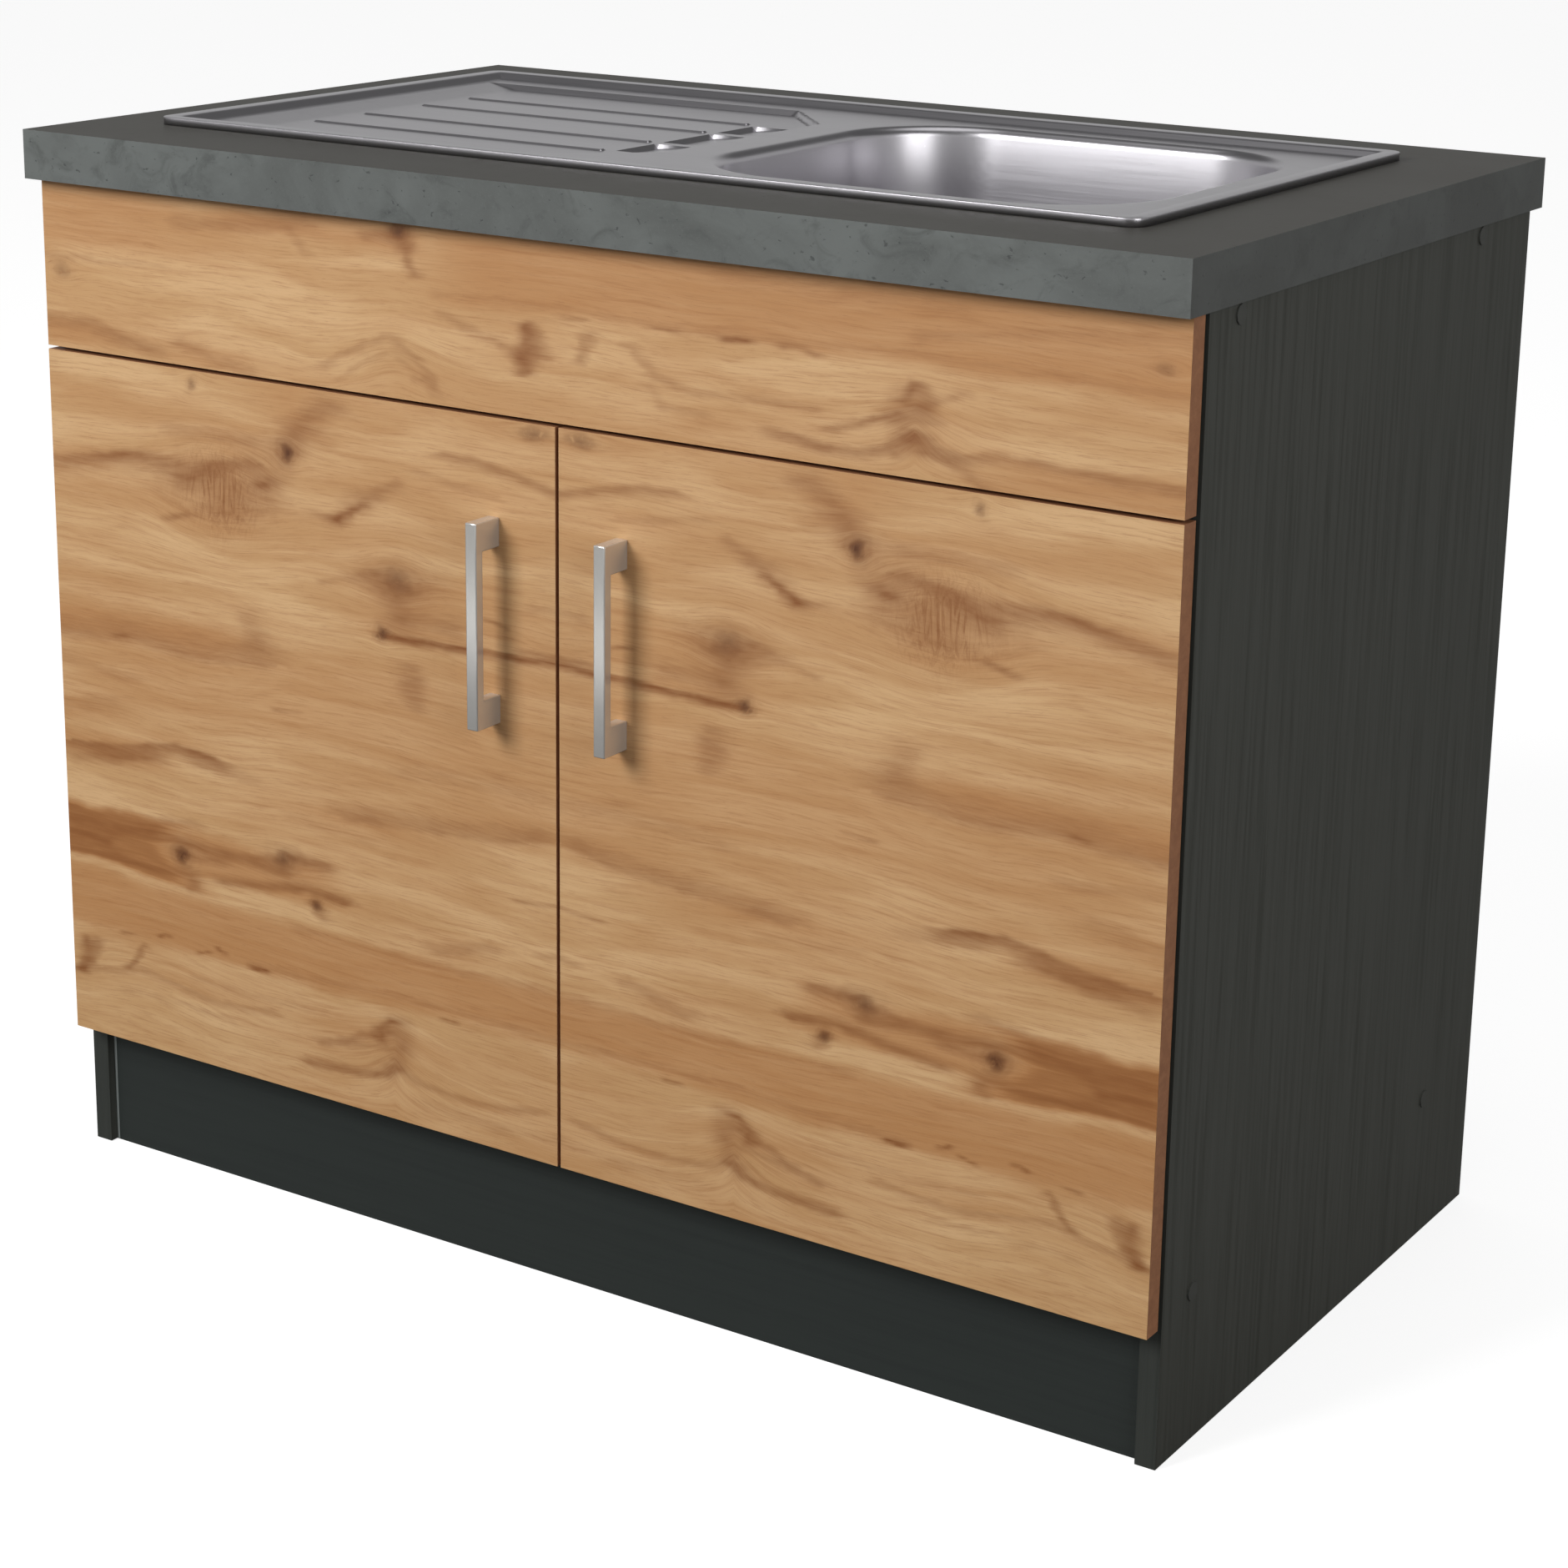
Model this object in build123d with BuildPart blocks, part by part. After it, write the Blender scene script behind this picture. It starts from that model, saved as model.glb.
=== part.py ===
from build123d import *
from math import cos, radians, sin, tan
import os

os.makedirs("parts", exist_ok=True)

# Kitchen sink unit, millimetres. +X runs along the worktop to the right, +Y to the wall, +Z up.
# The origin lies on the floor, under the middle of the whole unit, door handles included.

# ---- worktop ----
worktop_width = 1000.0
worktop_depth = 600.0
worktop_thickness = 38.0
unit_height = 850.0

# ---- carcass ----
board = 16.0  # melamine-faced chipboard
worktop_overhang = 2.5  # past each side panel
side_depth = 549.0
face_set_back = 14.0  # door faces behind the worktop's front edge
door_gap = 3.0  # between a closed door and the carcass, taken up by the bumpers
door_thickness = 16.0
plinth_height = 110.0
plinth_set_back = 7.0
plinth_end_gap = 0.5
front_rail_depth = 90.0
rear_rail_depth = 70.0
rear_rail_start = 445.0  # behind the carcass front, just past the bowl
back_thickness = 3.0
back_inset = 12.0  # from the side panels' rear edges to the back panel
groove_depth = 8.0
groove_clearance = 0.1
groove_end_gap = 0.5

# ---- fronts ----
door_bottom = 107.0
false_front_height = 131.0
front_gap = 3.0  # between the doors, and from the doors to the false front
front_reveal = 1.5  # each front ends short of the side panel's outer face
false_front_top_gap = 1.0

# ---- handles ----
handle_length = 156.0
handle_width = 10.0
handle_reach = 28.0
handle_bar = 8.0
handle_foot = 22.0
handle_holes = 128.0
handle_from_gap = 57.0  # handle centre line to the middle of the gap between the doors
handle_below_top = 151.0  # handle middle to the door's top edge

# ---- fasteners ----
fit = 0.1  # radial clearance of a screw or dowel in its hole
screw_sides = 6  # screws, dowels and their holes are drawn with a few flat sides
pin_sides = 6
screw_radius = 3.5
screw_length = 50.0
screw_head_radius = 5.0
screw_head = 4.0
cap_radius = 7.0
cap_sides = 12
cap_thickness = 1.2
front_screw_line = 45.0  # behind the carcass front
rear_screw_line = 454.0
dowel_radius = 4.0
dowel_length = 34.0
dowel_in_side = 11.0
dowel_from_screw = 64.0  # in the bottom panel, behind or before the screws
front_rail_dowel = 30.0  # behind the rails' screws
rear_rail_dowel = 40.0
bracket_leg = 30.0
bracket_height = 40.0
bracket_thickness = 2.0
small_screw_radius = 2.0
small_screw_length = 14.0
small_screw_in = small_screw_length - 1.0  # shank, which ends short of its hole
small_head_radius = 4.0
small_head = 2.0
worktop_screw_length = 34.0
worktop_screw_inset = 17.0  # from the rear rail's rear edge, clear of the cut-out

# ---- concealed hinges ----
hinge_from_end = 100.0  # hinge middle to the door's top or bottom edge
cup_radius = 17.5
cup_sides = 24
cup_bore_depth = 13.4
cup_edge = 3.0  # wood left between the cup bore and the door's edge
cup_wall = 0.8
cup_clearance = 0.1
cup_rim = 1.6  # how far the flange's ring reaches past the bore
cup_flange_width = 18.0
cup_flange_height = 60.0
cup_flange = 1.2
cup_screw_spacing = 48.0
cup_screw_offset = 6.0  # flange screws, further from the door's edge than the cup's middle
# pivots with the door closed: inward from the cup's middle, forward from the door's back
arm_pivot_long = (20.0, -12.0)  # long link on the arm
arm_pivot_short = (-2.0, 8.87)  # short link on the arm's nose
cup_pivot_long = (-7.44, 3.64)  # long link in the cup
cup_pivot_short = (-7.69, 8.18)  # short link in the cup
link_knee = (4.0, 4.2)  # the long link bends here to pass the door's edge
pin_radius = 1.0
pin_clearance = 0.05
short_link_play = 0.55  # more clearance at the one pivot that closes the linkage
arm_half = 5.0  # half thickness along the hinge axis
short_link_half = 3.5
link_gap = 0.3
link_thickness = 1.5
link_boss = 2.2
arm_height = 8.0
arm_rear = 60.0  # rear end of the arm behind the carcass front
arm_screw_line = 50.0
arm_screw_radius = 2.5
arm_screw_head_radius = 4.0
ridge_height = 12.0  # mounting plate's ridge, from the side panel
ridge_front = 20.0
hinge_plate_line = 37.0  # mounting plate's screw line, behind the carcass front
hinge_plate_spacing = 32.0
hinge_plate = 2.0
hinge_plate_width = 18.0
hinge_plate_height = 46.0

# ---- sink ----
sheet = 1.0
sink_left_margin = 58.0  # worktop left bare beside the sink
sink_right_margin = 82.0
sink_depth = 435.0
sink_corner = 12.0
sink_from_front = 305.0  # sink's middle behind the worktop's front edge
rim_height = 6.0
rim_flat = 12.0
rim_edge = 1.2
deck_drop = 5.0
deck_run = 10.0
cutout_margin = 10.0  # worktop left under the rim, all round
bowl_margin = 21.0  # deck left between the bowl's lip and the deck's right end
bowl_y = 2.0  # bowl's middle behind the sink's middle
bowl_width = 356.0
bowl_length = 334.0
bowl_corner = 88.0
bowl_depth = 155.0
bowl_taper = 3.0
bowl_lip = 8.0
bowl_foot = 32.0
lip_steps = 2
foot_steps = 3
corner_steps = 6
drainer_end_margin = 6.0  # from the deck's left end to the drainer
drainer_side_margin = 24.5  # from the deck's front and back to the drainer
drainer_from_bowl = 38.0  # from the bowl's lip to the drainer
drainer_drop = 4.0
drainer_run_left = 31.0
drainer_run = 5.0
drainer_cut_x = 60.0
drainer_cut_y = 64.0
rib_lines = (-106.0, -44.0, 31.0, 93.0)
rib_from_left = 39.0  # inside the drainer's left end
rib_from_right = 58.0
rib_width = 6.0
rib_height = 1.2
scoop_from_right = 50.0  # the scoops start this far inside the drainer's right end
scoop_length = 38.0
scoop_depth = 3.5
scoop_margin = 5.0

# ---- what holds and seals the sink ----
seal_gap = 0.3
seal_width = 7.0
clip_from_deck_end = 0.8
clip_thickness = 2.5
clip_width = 20.0
clip_reach = 26.0
clip_spacing = 240.0
clip_screw_above = 10.0  # clip's foot below the worktop
clip_screw_out = 20.0
clip_screw_length = 24.0

# ---- basket strainer waste ----
waste_sides = 16  # the round parts of the waste are drawn with flat sides
waste_recess_radius = 57.5
waste_recess = 3.0
waste_hole_radius = 45.0
waste_flange_radius = 56.0
waste_flange = 1.2
strainer_radius = 43.0
strainer_depth = 42.0
waste_body_radius = 50.0
waste_wall = 3.0
waste_body_depth = 55.0
outlet_radius = 23.9
outlet_wall = 3.0
outlet_length = 40.0
waste_screw_radius = 3.0
waste_screw_head_radius = 6.0
waste_screw_head = 3.0
strainer_wall = 1.5
strainer_holes = 8
strainer_hole_radius = 5.0
hub_radius = 7.0
hub_height = 14.0
waste_seal = 3.0
screw_in_hub = 12.0
basket_knob = 10.0
basket_radius = 40.0
basket_wall = 1.2
basket_height = 26.0
basket_lip = 2.5
basket_seat_gap = 0.3
basket_post_radius = 8.0
basket_knob_radius = 10.0
basket_slots = 8
basket_slot = 4.0

# ---- places worked out from the sizes above ----
handle_past_worktop = handle_reach - face_set_back
front_y = -(worktop_depth + handle_past_worktop) / 2 + handle_past_worktop
face_y = front_y + face_set_back
door_back_y = face_y + door_thickness
carcass_y = door_back_y + door_gap
carcass_back_y = carcass_y + side_depth
worktop_bottom = unit_height - worktop_thickness
side_x = worktop_width / 2 - worktop_overhang
door_top = worktop_bottom - false_front_top_gap - false_front_height - front_gap
inner_x = side_x - board
floor_top = plinth_height + board
rail_bottom = worktop_bottom - board
back_y = carcass_back_y - back_inset - back_thickness
front_screw_y = carcass_y + front_screw_line
rear_screw_y = carcass_y + rear_screw_line
screw_heights = (plinth_height + board / 2, rail_bottom + board / 2)
sink_width = worktop_width - sink_left_margin - sink_right_margin
sink_x = (sink_left_margin - sink_right_margin) / 2
sink_y = front_y + sink_from_front
deck_width = sink_width - 2 * (rim_flat + deck_run)
deck_length = sink_depth - 2 * (rim_flat + deck_run)
bowl_x = deck_width / 2 - bowl_margin - bowl_lip - bowl_width / 2
drainer_left = drainer_end_margin - deck_width / 2
drainer_right = bowl_x - bowl_width / 2 - bowl_lip - drainer_from_bowl
drainer_half = deck_length / 2 - drainer_side_margin
rib_start = drainer_left + rib_from_left
rib_end = drainer_right - rib_from_right
scoop_start = drainer_right - scoop_from_right
rim_top = unit_height + rim_height
deck_z = rim_top - deck_drop
drainer_z = deck_z - drainer_drop
bowl_floor = deck_z - bowl_depth
waste_x = sink_x + bowl_x
waste_y = sink_y + bowl_y
recess_floor = bowl_floor - waste_recess
handles_z = door_top - handle_below_top
hinge_heights = (door_bottom + hinge_from_end, door_top - hinge_from_end)
hands = (("left", -1), ("right", 1))


def facing_front(y):
    """Plane at y whose sketches read X to the right and Z up, and extrude towards the front."""
    return Plane(origin=(0, y, 0), x_dir=(1, 0, 0), z_dir=(0, -1, 0))


def facing_right(x):
    """Plane at x whose sketches read Y to the right and Z up, and extrude towards +X."""
    return Plane(origin=(x, 0, 0), x_dir=(0, 1, 0), z_dir=(1, 0, 0))


# ---- worktop, with the cut-out that the sink drops into ----
cutout_width = sink_width - 2 * cutout_margin
cutout_depth = sink_depth - 2 * cutout_margin
worktop_screw_xs = (-inner_x / 2, inner_x / 2)
front_rail_y = carcass_y + front_rail_depth / 2
rear_rail_y = carcass_y + rear_rail_start + rear_rail_depth / 2
worktop_screw_ys = (front_rail_y, carcass_y + rear_rail_start + rear_rail_depth - worktop_screw_inset)
worktop_screw_spots = [(x, y) for x in worktop_screw_xs for y in worktop_screw_ys]

with BuildPart() as worktop:
    with BuildSketch(Plane.XY.offset(worktop_bottom)):
        with Locations((0, front_y + worktop_depth / 2)):
            Rectangle(worktop_width, worktop_depth)
        with Locations((sink_x, sink_y)):
            RectangleRounded(cutout_width, cutout_depth, sink_corner, mode=Mode.SUBTRACT)
    extrude(amount=worktop_thickness)
    with BuildSketch(Plane.XY.offset(worktop_bottom)):
        with Locations(worktop_screw_spots):
            RegularPolygon(small_screw_radius + fit, screw_sides)
    extrude(amount=worktop_screw_length - board + 1, mode=Mode.SUBTRACT)
worktop.part.label = "worktop"
export_step(worktop.part, "parts/worktop.step")

# ---- carcass boards ----
# Each end of the bottom panel and of the two rails is held by screws and dowels through the sides.
bottom_dowel_ys = (front_screw_y + dowel_from_screw, rear_screw_y - dowel_from_screw)
rail_dowel_ys = (front_screw_y + front_rail_dowel, rear_screw_y + rear_rail_dowel)
screw_spots = [(y, z) for y in (front_screw_y, rear_screw_y) for z in screw_heights]
dowel_spots = [(y, screw_heights[0]) for y in bottom_dowel_ys]
dowel_spots += [(y, screw_heights[1]) for y in rail_dowel_ys]
plate_spots = [
    (carcass_y + hinge_plate_line, z + side * hinge_plate_spacing / 2)
    for z in hinge_heights
    for side in (-1, 1)
]
false_front_bracket_z = (door_top + front_gap + rail_bottom) / 2
plinth_back_y = carcass_y + plinth_set_back + board
plinth_bracket_z = plinth_height / 2
side_bracket_spots = [
    (door_back_y + bracket_leg * 0.6, false_front_bracket_z),
    (plinth_back_y + bracket_leg * 0.6, plinth_bracket_z),
]

for hand, side in hands:
    with BuildPart() as side_panel:
        with Locations((side * (inner_x + board / 2), carcass_y + side_depth / 2, worktop_bottom / 2)):
            Box(board, side_depth, worktop_bottom)
        # holes from outside: screws with their heads sunk under the caps
        with BuildSketch(facing_right(side * side_x)):
            with Locations(screw_spots):
                RegularPolygon(screw_radius + fit, screw_sides)
        extrude(amount=-side * board, mode=Mode.SUBTRACT)
        with BuildSketch(facing_right(side * side_x)):
            with Locations(screw_spots):
                RegularPolygon(screw_head_radius + fit, screw_sides)
        extrude(amount=-side * screw_head, mode=Mode.SUBTRACT)
        # holes from inside: dowels, hinge plates and brackets
        with BuildSketch(facing_right(side * inner_x)):
            with Locations(dowel_spots):
                RegularPolygon(dowel_radius + fit, screw_sides)
        extrude(amount=side * (dowel_in_side + fit), mode=Mode.SUBTRACT)
        with BuildSketch(facing_right(side * inner_x)):
            with Locations(plate_spots + side_bracket_spots):
                RegularPolygon(small_screw_radius + fit, screw_sides)
        extrude(amount=side * (small_screw_length - hinge_plate), mode=Mode.SUBTRACT)
        # groove for the back panel, open at the top
        with BuildSketch(facing_right(side * inner_x)):
            with Locations((back_y + back_thickness / 2, (floor_top - groove_depth + worktop_bottom) / 2)):
                Rectangle(back_thickness + 2 * groove_clearance, worktop_bottom - floor_top + groove_depth)
        extrude(amount=side * groove_depth, mode=Mode.SUBTRACT)
    side_panel.part.label = f"side_panel_{hand}"
    export_step(side_panel.part, f"parts/side_panel_{hand}.step")

with BuildPart() as bottom_panel:
    with Locations((0, carcass_y + side_depth / 2, plinth_height + board / 2)):
        Box(2 * inner_x, side_depth, board)
    with Locations((0, back_y + back_thickness / 2, floor_top - groove_depth / 2)):
        Box(2 * inner_x, back_thickness + 2 * groove_clearance, groove_depth, mode=Mode.SUBTRACT)
    for hand, side in hands:
        with BuildSketch(facing_right(side * inner_x)):
            with Locations([(y, screw_heights[0]) for y in (front_screw_y, rear_screw_y)]):
                RegularPolygon(screw_radius + fit, screw_sides)
        extrude(amount=-side * (screw_length - board + 1), mode=Mode.SUBTRACT)
        with BuildSketch(facing_right(side * inner_x)):
            with Locations([(y, screw_heights[0]) for y in bottom_dowel_ys]):
                RegularPolygon(dowel_radius + fit, screw_sides)
        extrude(amount=-side * (dowel_length - dowel_in_side + 1), mode=Mode.SUBTRACT)
bottom_panel.part.label = "bottom_panel"
export_step(bottom_panel.part, "parts/bottom_panel.step")

rails = (
    ("front_rail", front_rail_y, front_rail_depth, front_screw_y, rail_dowel_ys[0], worktop_screw_ys[0]),
    ("rear_rail", rear_rail_y, rear_rail_depth, rear_screw_y, rail_dowel_ys[1], worktop_screw_ys[1]),
)
for rail_name, rail_y, rail_depth, screw_y, dowel_y, fixing_y in rails:
    with BuildPart() as rail:
        with Locations((0, rail_y, rail_bottom + board / 2)):
            Box(2 * inner_x, rail_depth, board)
        for hand, side in hands:
            with BuildSketch(facing_right(side * inner_x)):
                with Locations((screw_y, screw_heights[1])):
                    RegularPolygon(screw_radius + fit, screw_sides)
            extrude(amount=-side * (screw_length - board + 1), mode=Mode.SUBTRACT)
            with BuildSketch(facing_right(side * inner_x)):
                with Locations((dowel_y, screw_heights[1])):
                    RegularPolygon(dowel_radius + fit, screw_sides)
            extrude(amount=-side * (dowel_length - dowel_in_side + 1), mode=Mode.SUBTRACT)
        with BuildSketch(Plane.XY.offset(rail_bottom)):
            with Locations([(x, fixing_y) for x in worktop_screw_xs]):
                RegularPolygon(small_screw_radius + fit, screw_sides)
        extrude(amount=board, mode=Mode.SUBTRACT)
    rail.part.label = rail_name
    export_step(rail.part, f"parts/{rail_name}.step")

with BuildPart() as back_panel:
    back_width = 2 * (inner_x + groove_depth - groove_end_gap)
    back_bottom = floor_top - groove_depth + groove_end_gap
    with Locations((0, back_y + back_thickness / 2, (back_bottom + worktop_bottom) / 2)):
        Box(back_width, back_thickness, worktop_bottom - back_bottom)
back_panel.part.label = "back_panel"
export_step(back_panel.part, "parts/back_panel.step")

plinth_width = 2 * (inner_x - plinth_end_gap)
bracket_hole_x = inner_x - bracket_leg * 0.6
with BuildPart() as plinth_panel:
    with Locations((0, plinth_back_y - board / 2, plinth_height / 2)):
        Box(plinth_width, board, plinth_height)
    with BuildSketch(facing_front(plinth_back_y)):
        with Locations([(side * bracket_hole_x, plinth_bracket_z) for hand, side in hands]):
            RegularPolygon(small_screw_radius + fit, screw_sides)
    extrude(amount=small_screw_length - bracket_thickness, mode=Mode.SUBTRACT)
plinth_panel.part.label = "plinth_panel"
export_step(plinth_panel.part, "parts/plinth_panel.step")

# ---- fasteners of the carcass ----
for hand, side in hands:
    with BuildPart() as frame_screws:
        with BuildSketch(facing_right(side * side_x)):
            with Locations(screw_spots):
                RegularPolygon(screw_radius, screw_sides)
        extrude(amount=-side * screw_length)
        with BuildSketch(facing_right(side * side_x)):
            with Locations(screw_spots):
                RegularPolygon(screw_head_radius, screw_sides)
        extrude(amount=-side * screw_head)
    frame_screws.part.label = f"frame_screws_{hand}"
    export_step(frame_screws.part, f"parts/frame_screws_{hand}.step")

    with BuildPart() as screw_caps:
        with BuildSketch(facing_right(side * side_x)):
            with Locations(screw_spots):
                RegularPolygon(cap_radius, cap_sides)
        extrude(amount=side * cap_thickness)
    screw_caps.part.label = f"screw_caps_{hand}"
    export_step(screw_caps.part, f"parts/screw_caps_{hand}.step")

    with BuildPart() as dowels:
        with BuildSketch(facing_right(side * (inner_x + dowel_in_side))):
            with Locations(dowel_spots):
                RegularPolygon(dowel_radius, screw_sides)
        extrude(amount=-side * dowel_length)
    dowels.part.label = f"dowels_{hand}"
    export_step(dowels.part, f"parts/dowels_{hand}.step")

with BuildPart() as worktop_screws:
    with BuildSketch(Plane.XY.offset(rail_bottom)):
        with Locations(worktop_screw_spots):
            RegularPolygon(small_screw_radius, screw_sides)
    extrude(amount=worktop_screw_length)
    with BuildSketch(Plane.XY.offset(rail_bottom)):
        with Locations(worktop_screw_spots):
            RegularPolygon(small_head_radius, screw_sides)
    extrude(amount=-small_head)
worktop_screws.part.label = "worktop_screws"
export_step(worktop_screws.part, "parts/worktop_screws.step")

# ---- false front and plinth, held by angle brackets in the corners of the carcass ----
front_width = 2 * (side_x - front_reveal)
false_front_bottom = door_top + front_gap
false_front_top = worktop_bottom - false_front_top_gap
with BuildPart() as false_front:
    with Locations((0, face_y + door_thickness / 2, (false_front_bottom + false_front_top) / 2)):
        Box(front_width, door_thickness, false_front_top - false_front_bottom)
    with BuildSketch(facing_front(door_back_y)):
        with Locations([(side * bracket_hole_x, false_front_bracket_z) for hand, side in hands]):
            RegularPolygon(small_screw_radius + fit, screw_sides)
    extrude(amount=small_screw_length - bracket_thickness, mode=Mode.SUBTRACT)
false_front.part.label = "false_front"
export_step(false_front.part, "parts/false_front.step")

bracket_sets = (
    ("false_front", door_back_y, false_front_bracket_z),
    ("plinth", plinth_back_y, plinth_bracket_z),
)
for bracket_set, corner_y, bracket_z in bracket_sets:
    with BuildPart() as brackets:
        for hand, side in hands:
            with BuildSketch(Plane.XY.offset(bracket_z - bracket_height / 2)):
                with Locations((side * (inner_x - bracket_thickness / 2), corner_y + bracket_leg / 2)):
                    Rectangle(bracket_thickness, bracket_leg)
                with Locations((side * (inner_x - bracket_leg / 2), corner_y + bracket_thickness / 2)):
                    Rectangle(bracket_leg, bracket_thickness)
            extrude(amount=bracket_height)
        with BuildSketch(facing_front(corner_y)):
            with Locations([(side * bracket_hole_x, bracket_z) for hand, side in hands]):
                RegularPolygon(small_screw_radius + fit, screw_sides)
        extrude(amount=-bracket_thickness, mode=Mode.SUBTRACT)
        with BuildSketch(facing_right(-inner_x)):
            with Locations((corner_y + bracket_leg * 0.6, bracket_z)):
                RegularPolygon(small_screw_radius + fit, screw_sides)
        extrude(amount=2 * inner_x, mode=Mode.SUBTRACT)
    brackets.part.label = f"{bracket_set}_brackets"
    export_step(brackets.part, f"parts/{bracket_set}_brackets.step")

    with BuildPart() as bracket_screws:
        for hand, side in hands:
            for radius, amount in ((small_screw_radius, small_screw_in), (small_head_radius, -small_head)):
                with BuildSketch(facing_front(corner_y + bracket_thickness)):
                    with Locations((side * bracket_hole_x, bracket_z)):
                        RegularPolygon(radius, screw_sides)
                extrude(amount=amount)
                with BuildSketch(facing_right(side * (inner_x - bracket_thickness))):
                    with Locations((corner_y + bracket_leg * 0.6, bracket_z)):
                        RegularPolygon(radius, screw_sides)
                extrude(amount=side * amount)
    bracket_screws.part.label = f"{bracket_set}_bracket_screws"
    export_step(bracket_screws.part, f"parts/{bracket_set}_bracket_screws.step")

# ---- doors ----
door_width = (front_width - front_gap) / 2
door_height = door_top - door_bottom
cup_x = side_x - front_reveal - cup_edge - cup_radius
cup_screw_zs = [z + end * cup_screw_spacing / 2 for z in hinge_heights for end in (-1, 1)]
handle_screw_zs = (handles_z - handle_holes / 2, handles_z + handle_holes / 2)
handle_hole = 2.5
handle_screw_in = 8.0
bumper_radius = 4.0
bumper_from_gap = 20.0
bumper_from_edge = 40.0
bumper_thickness = door_gap - 0.3
bumper_z = plinth_height + board / 2
bumper_xs = (bumper_from_gap, door_width - bumper_from_edge)

for hand, side in hands:
    door_x = side * (front_gap / 2 + door_width / 2)
    with BuildPart() as door:
        with Locations((door_x, face_y + door_thickness / 2, (door_bottom + door_top) / 2)):
            Box(door_width, door_thickness, door_height)
        with BuildSketch(facing_front(door_back_y)):
            with Locations([(side * cup_x, z) for z in hinge_heights]):
                RegularPolygon(cup_radius, cup_sides)
        extrude(amount=cup_bore_depth, mode=Mode.SUBTRACT)
        with BuildSketch(facing_front(door_back_y)):
            with Locations([(side * (cup_x - cup_screw_offset), z) for z in cup_screw_zs]):
                RegularPolygon(small_screw_radius + fit, screw_sides)
        extrude(amount=small_screw_length - cup_flange, mode=Mode.SUBTRACT)
        with BuildSketch(facing_front(door_back_y)):
            with Locations([(side * handle_from_gap, z) for z in handle_screw_zs]):
                RegularPolygon(handle_hole, screw_sides)
        extrude(amount=door_thickness, mode=Mode.SUBTRACT)
    door.part.label = f"door_{hand}"
    export_step(door.part, f"parts/door_{hand}.step")

    # bridge handle: a flat bar on two square feet
    with BuildPart() as handle:
        with BuildSketch(facing_right(side * handle_from_gap - handle_width / 2)):
            with Locations((face_y - handle_reach / 2, handles_z)):
                Rectangle(handle_reach, handle_length)
            with Locations((face_y - (handle_reach - handle_bar) / 2, handles_z)):
                Rectangle(handle_reach - handle_bar, handle_length - 2 * handle_foot, mode=Mode.SUBTRACT)
        extrude(amount=handle_width)
        with BuildSketch(facing_front(face_y)):
            with Locations([(side * handle_from_gap, z) for z in handle_screw_zs]):
                RegularPolygon(small_screw_radius + fit, screw_sides)
        extrude(amount=handle_screw_in + 1, mode=Mode.SUBTRACT)
    handle.part.label = f"handle_{hand}"
    export_step(handle.part, f"parts/handle_{hand}.step")

    with BuildPart() as handle_screws:
        with BuildSketch(facing_front(door_back_y)):
            with Locations([(side * handle_from_gap, z) for z in handle_screw_zs]):
                RegularPolygon(small_screw_radius, screw_sides)
        extrude(amount=door_thickness + handle_screw_in)
        with BuildSketch(facing_front(door_back_y)):
            with Locations([(side * handle_from_gap, z) for z in handle_screw_zs]):
                RegularPolygon(small_head_radius, screw_sides)
        extrude(amount=-small_head)
    handle_screws.part.label = f"handle_screws_{hand}"
    export_step(handle_screws.part, f"parts/handle_screws_{hand}.step")

    with BuildPart() as bumpers:
        with BuildSketch(facing_front(door_back_y)):
            with Locations([(side * x, bumper_z) for x in bumper_xs]):
                RegularPolygon(bumper_radius, pin_sides)
        extrude(amount=-bumper_thickness)
    bumpers.part.label = f"door_bumpers_{hand}"
    export_step(bumpers.part, f"parts/door_bumpers_{hand}.step")

# ---- concealed hinges: a cup in the door, an arm on the side panel and two links between them ----
link_near = arm_half + link_gap
link_far = link_near + link_thickness
ear_near = link_far + link_gap
cup_floor = cup_bore_depth - cup_clearance - cup_wall  # inside, from the door's back
cup_inside = cup_radius - cup_clearance - cup_wall
side_inward = cup_x - inner_x  # from the side panel's face to the cup's middle, measured outward
ridge_inward = ridge_height + side_inward
arm_rear_forward = -(door_gap + arm_rear)
hinge_plate_y = carcass_y + hinge_plate_line
short_link_boss = pin_radius + short_link_play + 1.0
short_link_reach = (
    (arm_pivot_short[0] - cup_pivot_short[0]) ** 2 + (arm_pivot_short[1] - cup_pivot_short[1]) ** 2
) ** 0.5 + short_link_boss


def from_cup(side, inward, forward):
    """Point given inward from the cup's middle and forward from the door's back, as X and Y."""
    return (side * (cup_x - inward), door_back_y - forward)


def bar_outline(side, start, end, half_start, half_end):
    """Corners of a bar that tapers from one pivot to the next, seen from above."""
    run = Vector(end[0] - start[0], end[1] - start[1]).normalized()
    corners = []
    for spot, half in ((start, half_start), (end, half_end), (end, -half_end), (start, -half_start)):
        corners.append(from_cup(side, spot[0] - run.Y * half, spot[1] + run.X * half))
    return corners


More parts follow.
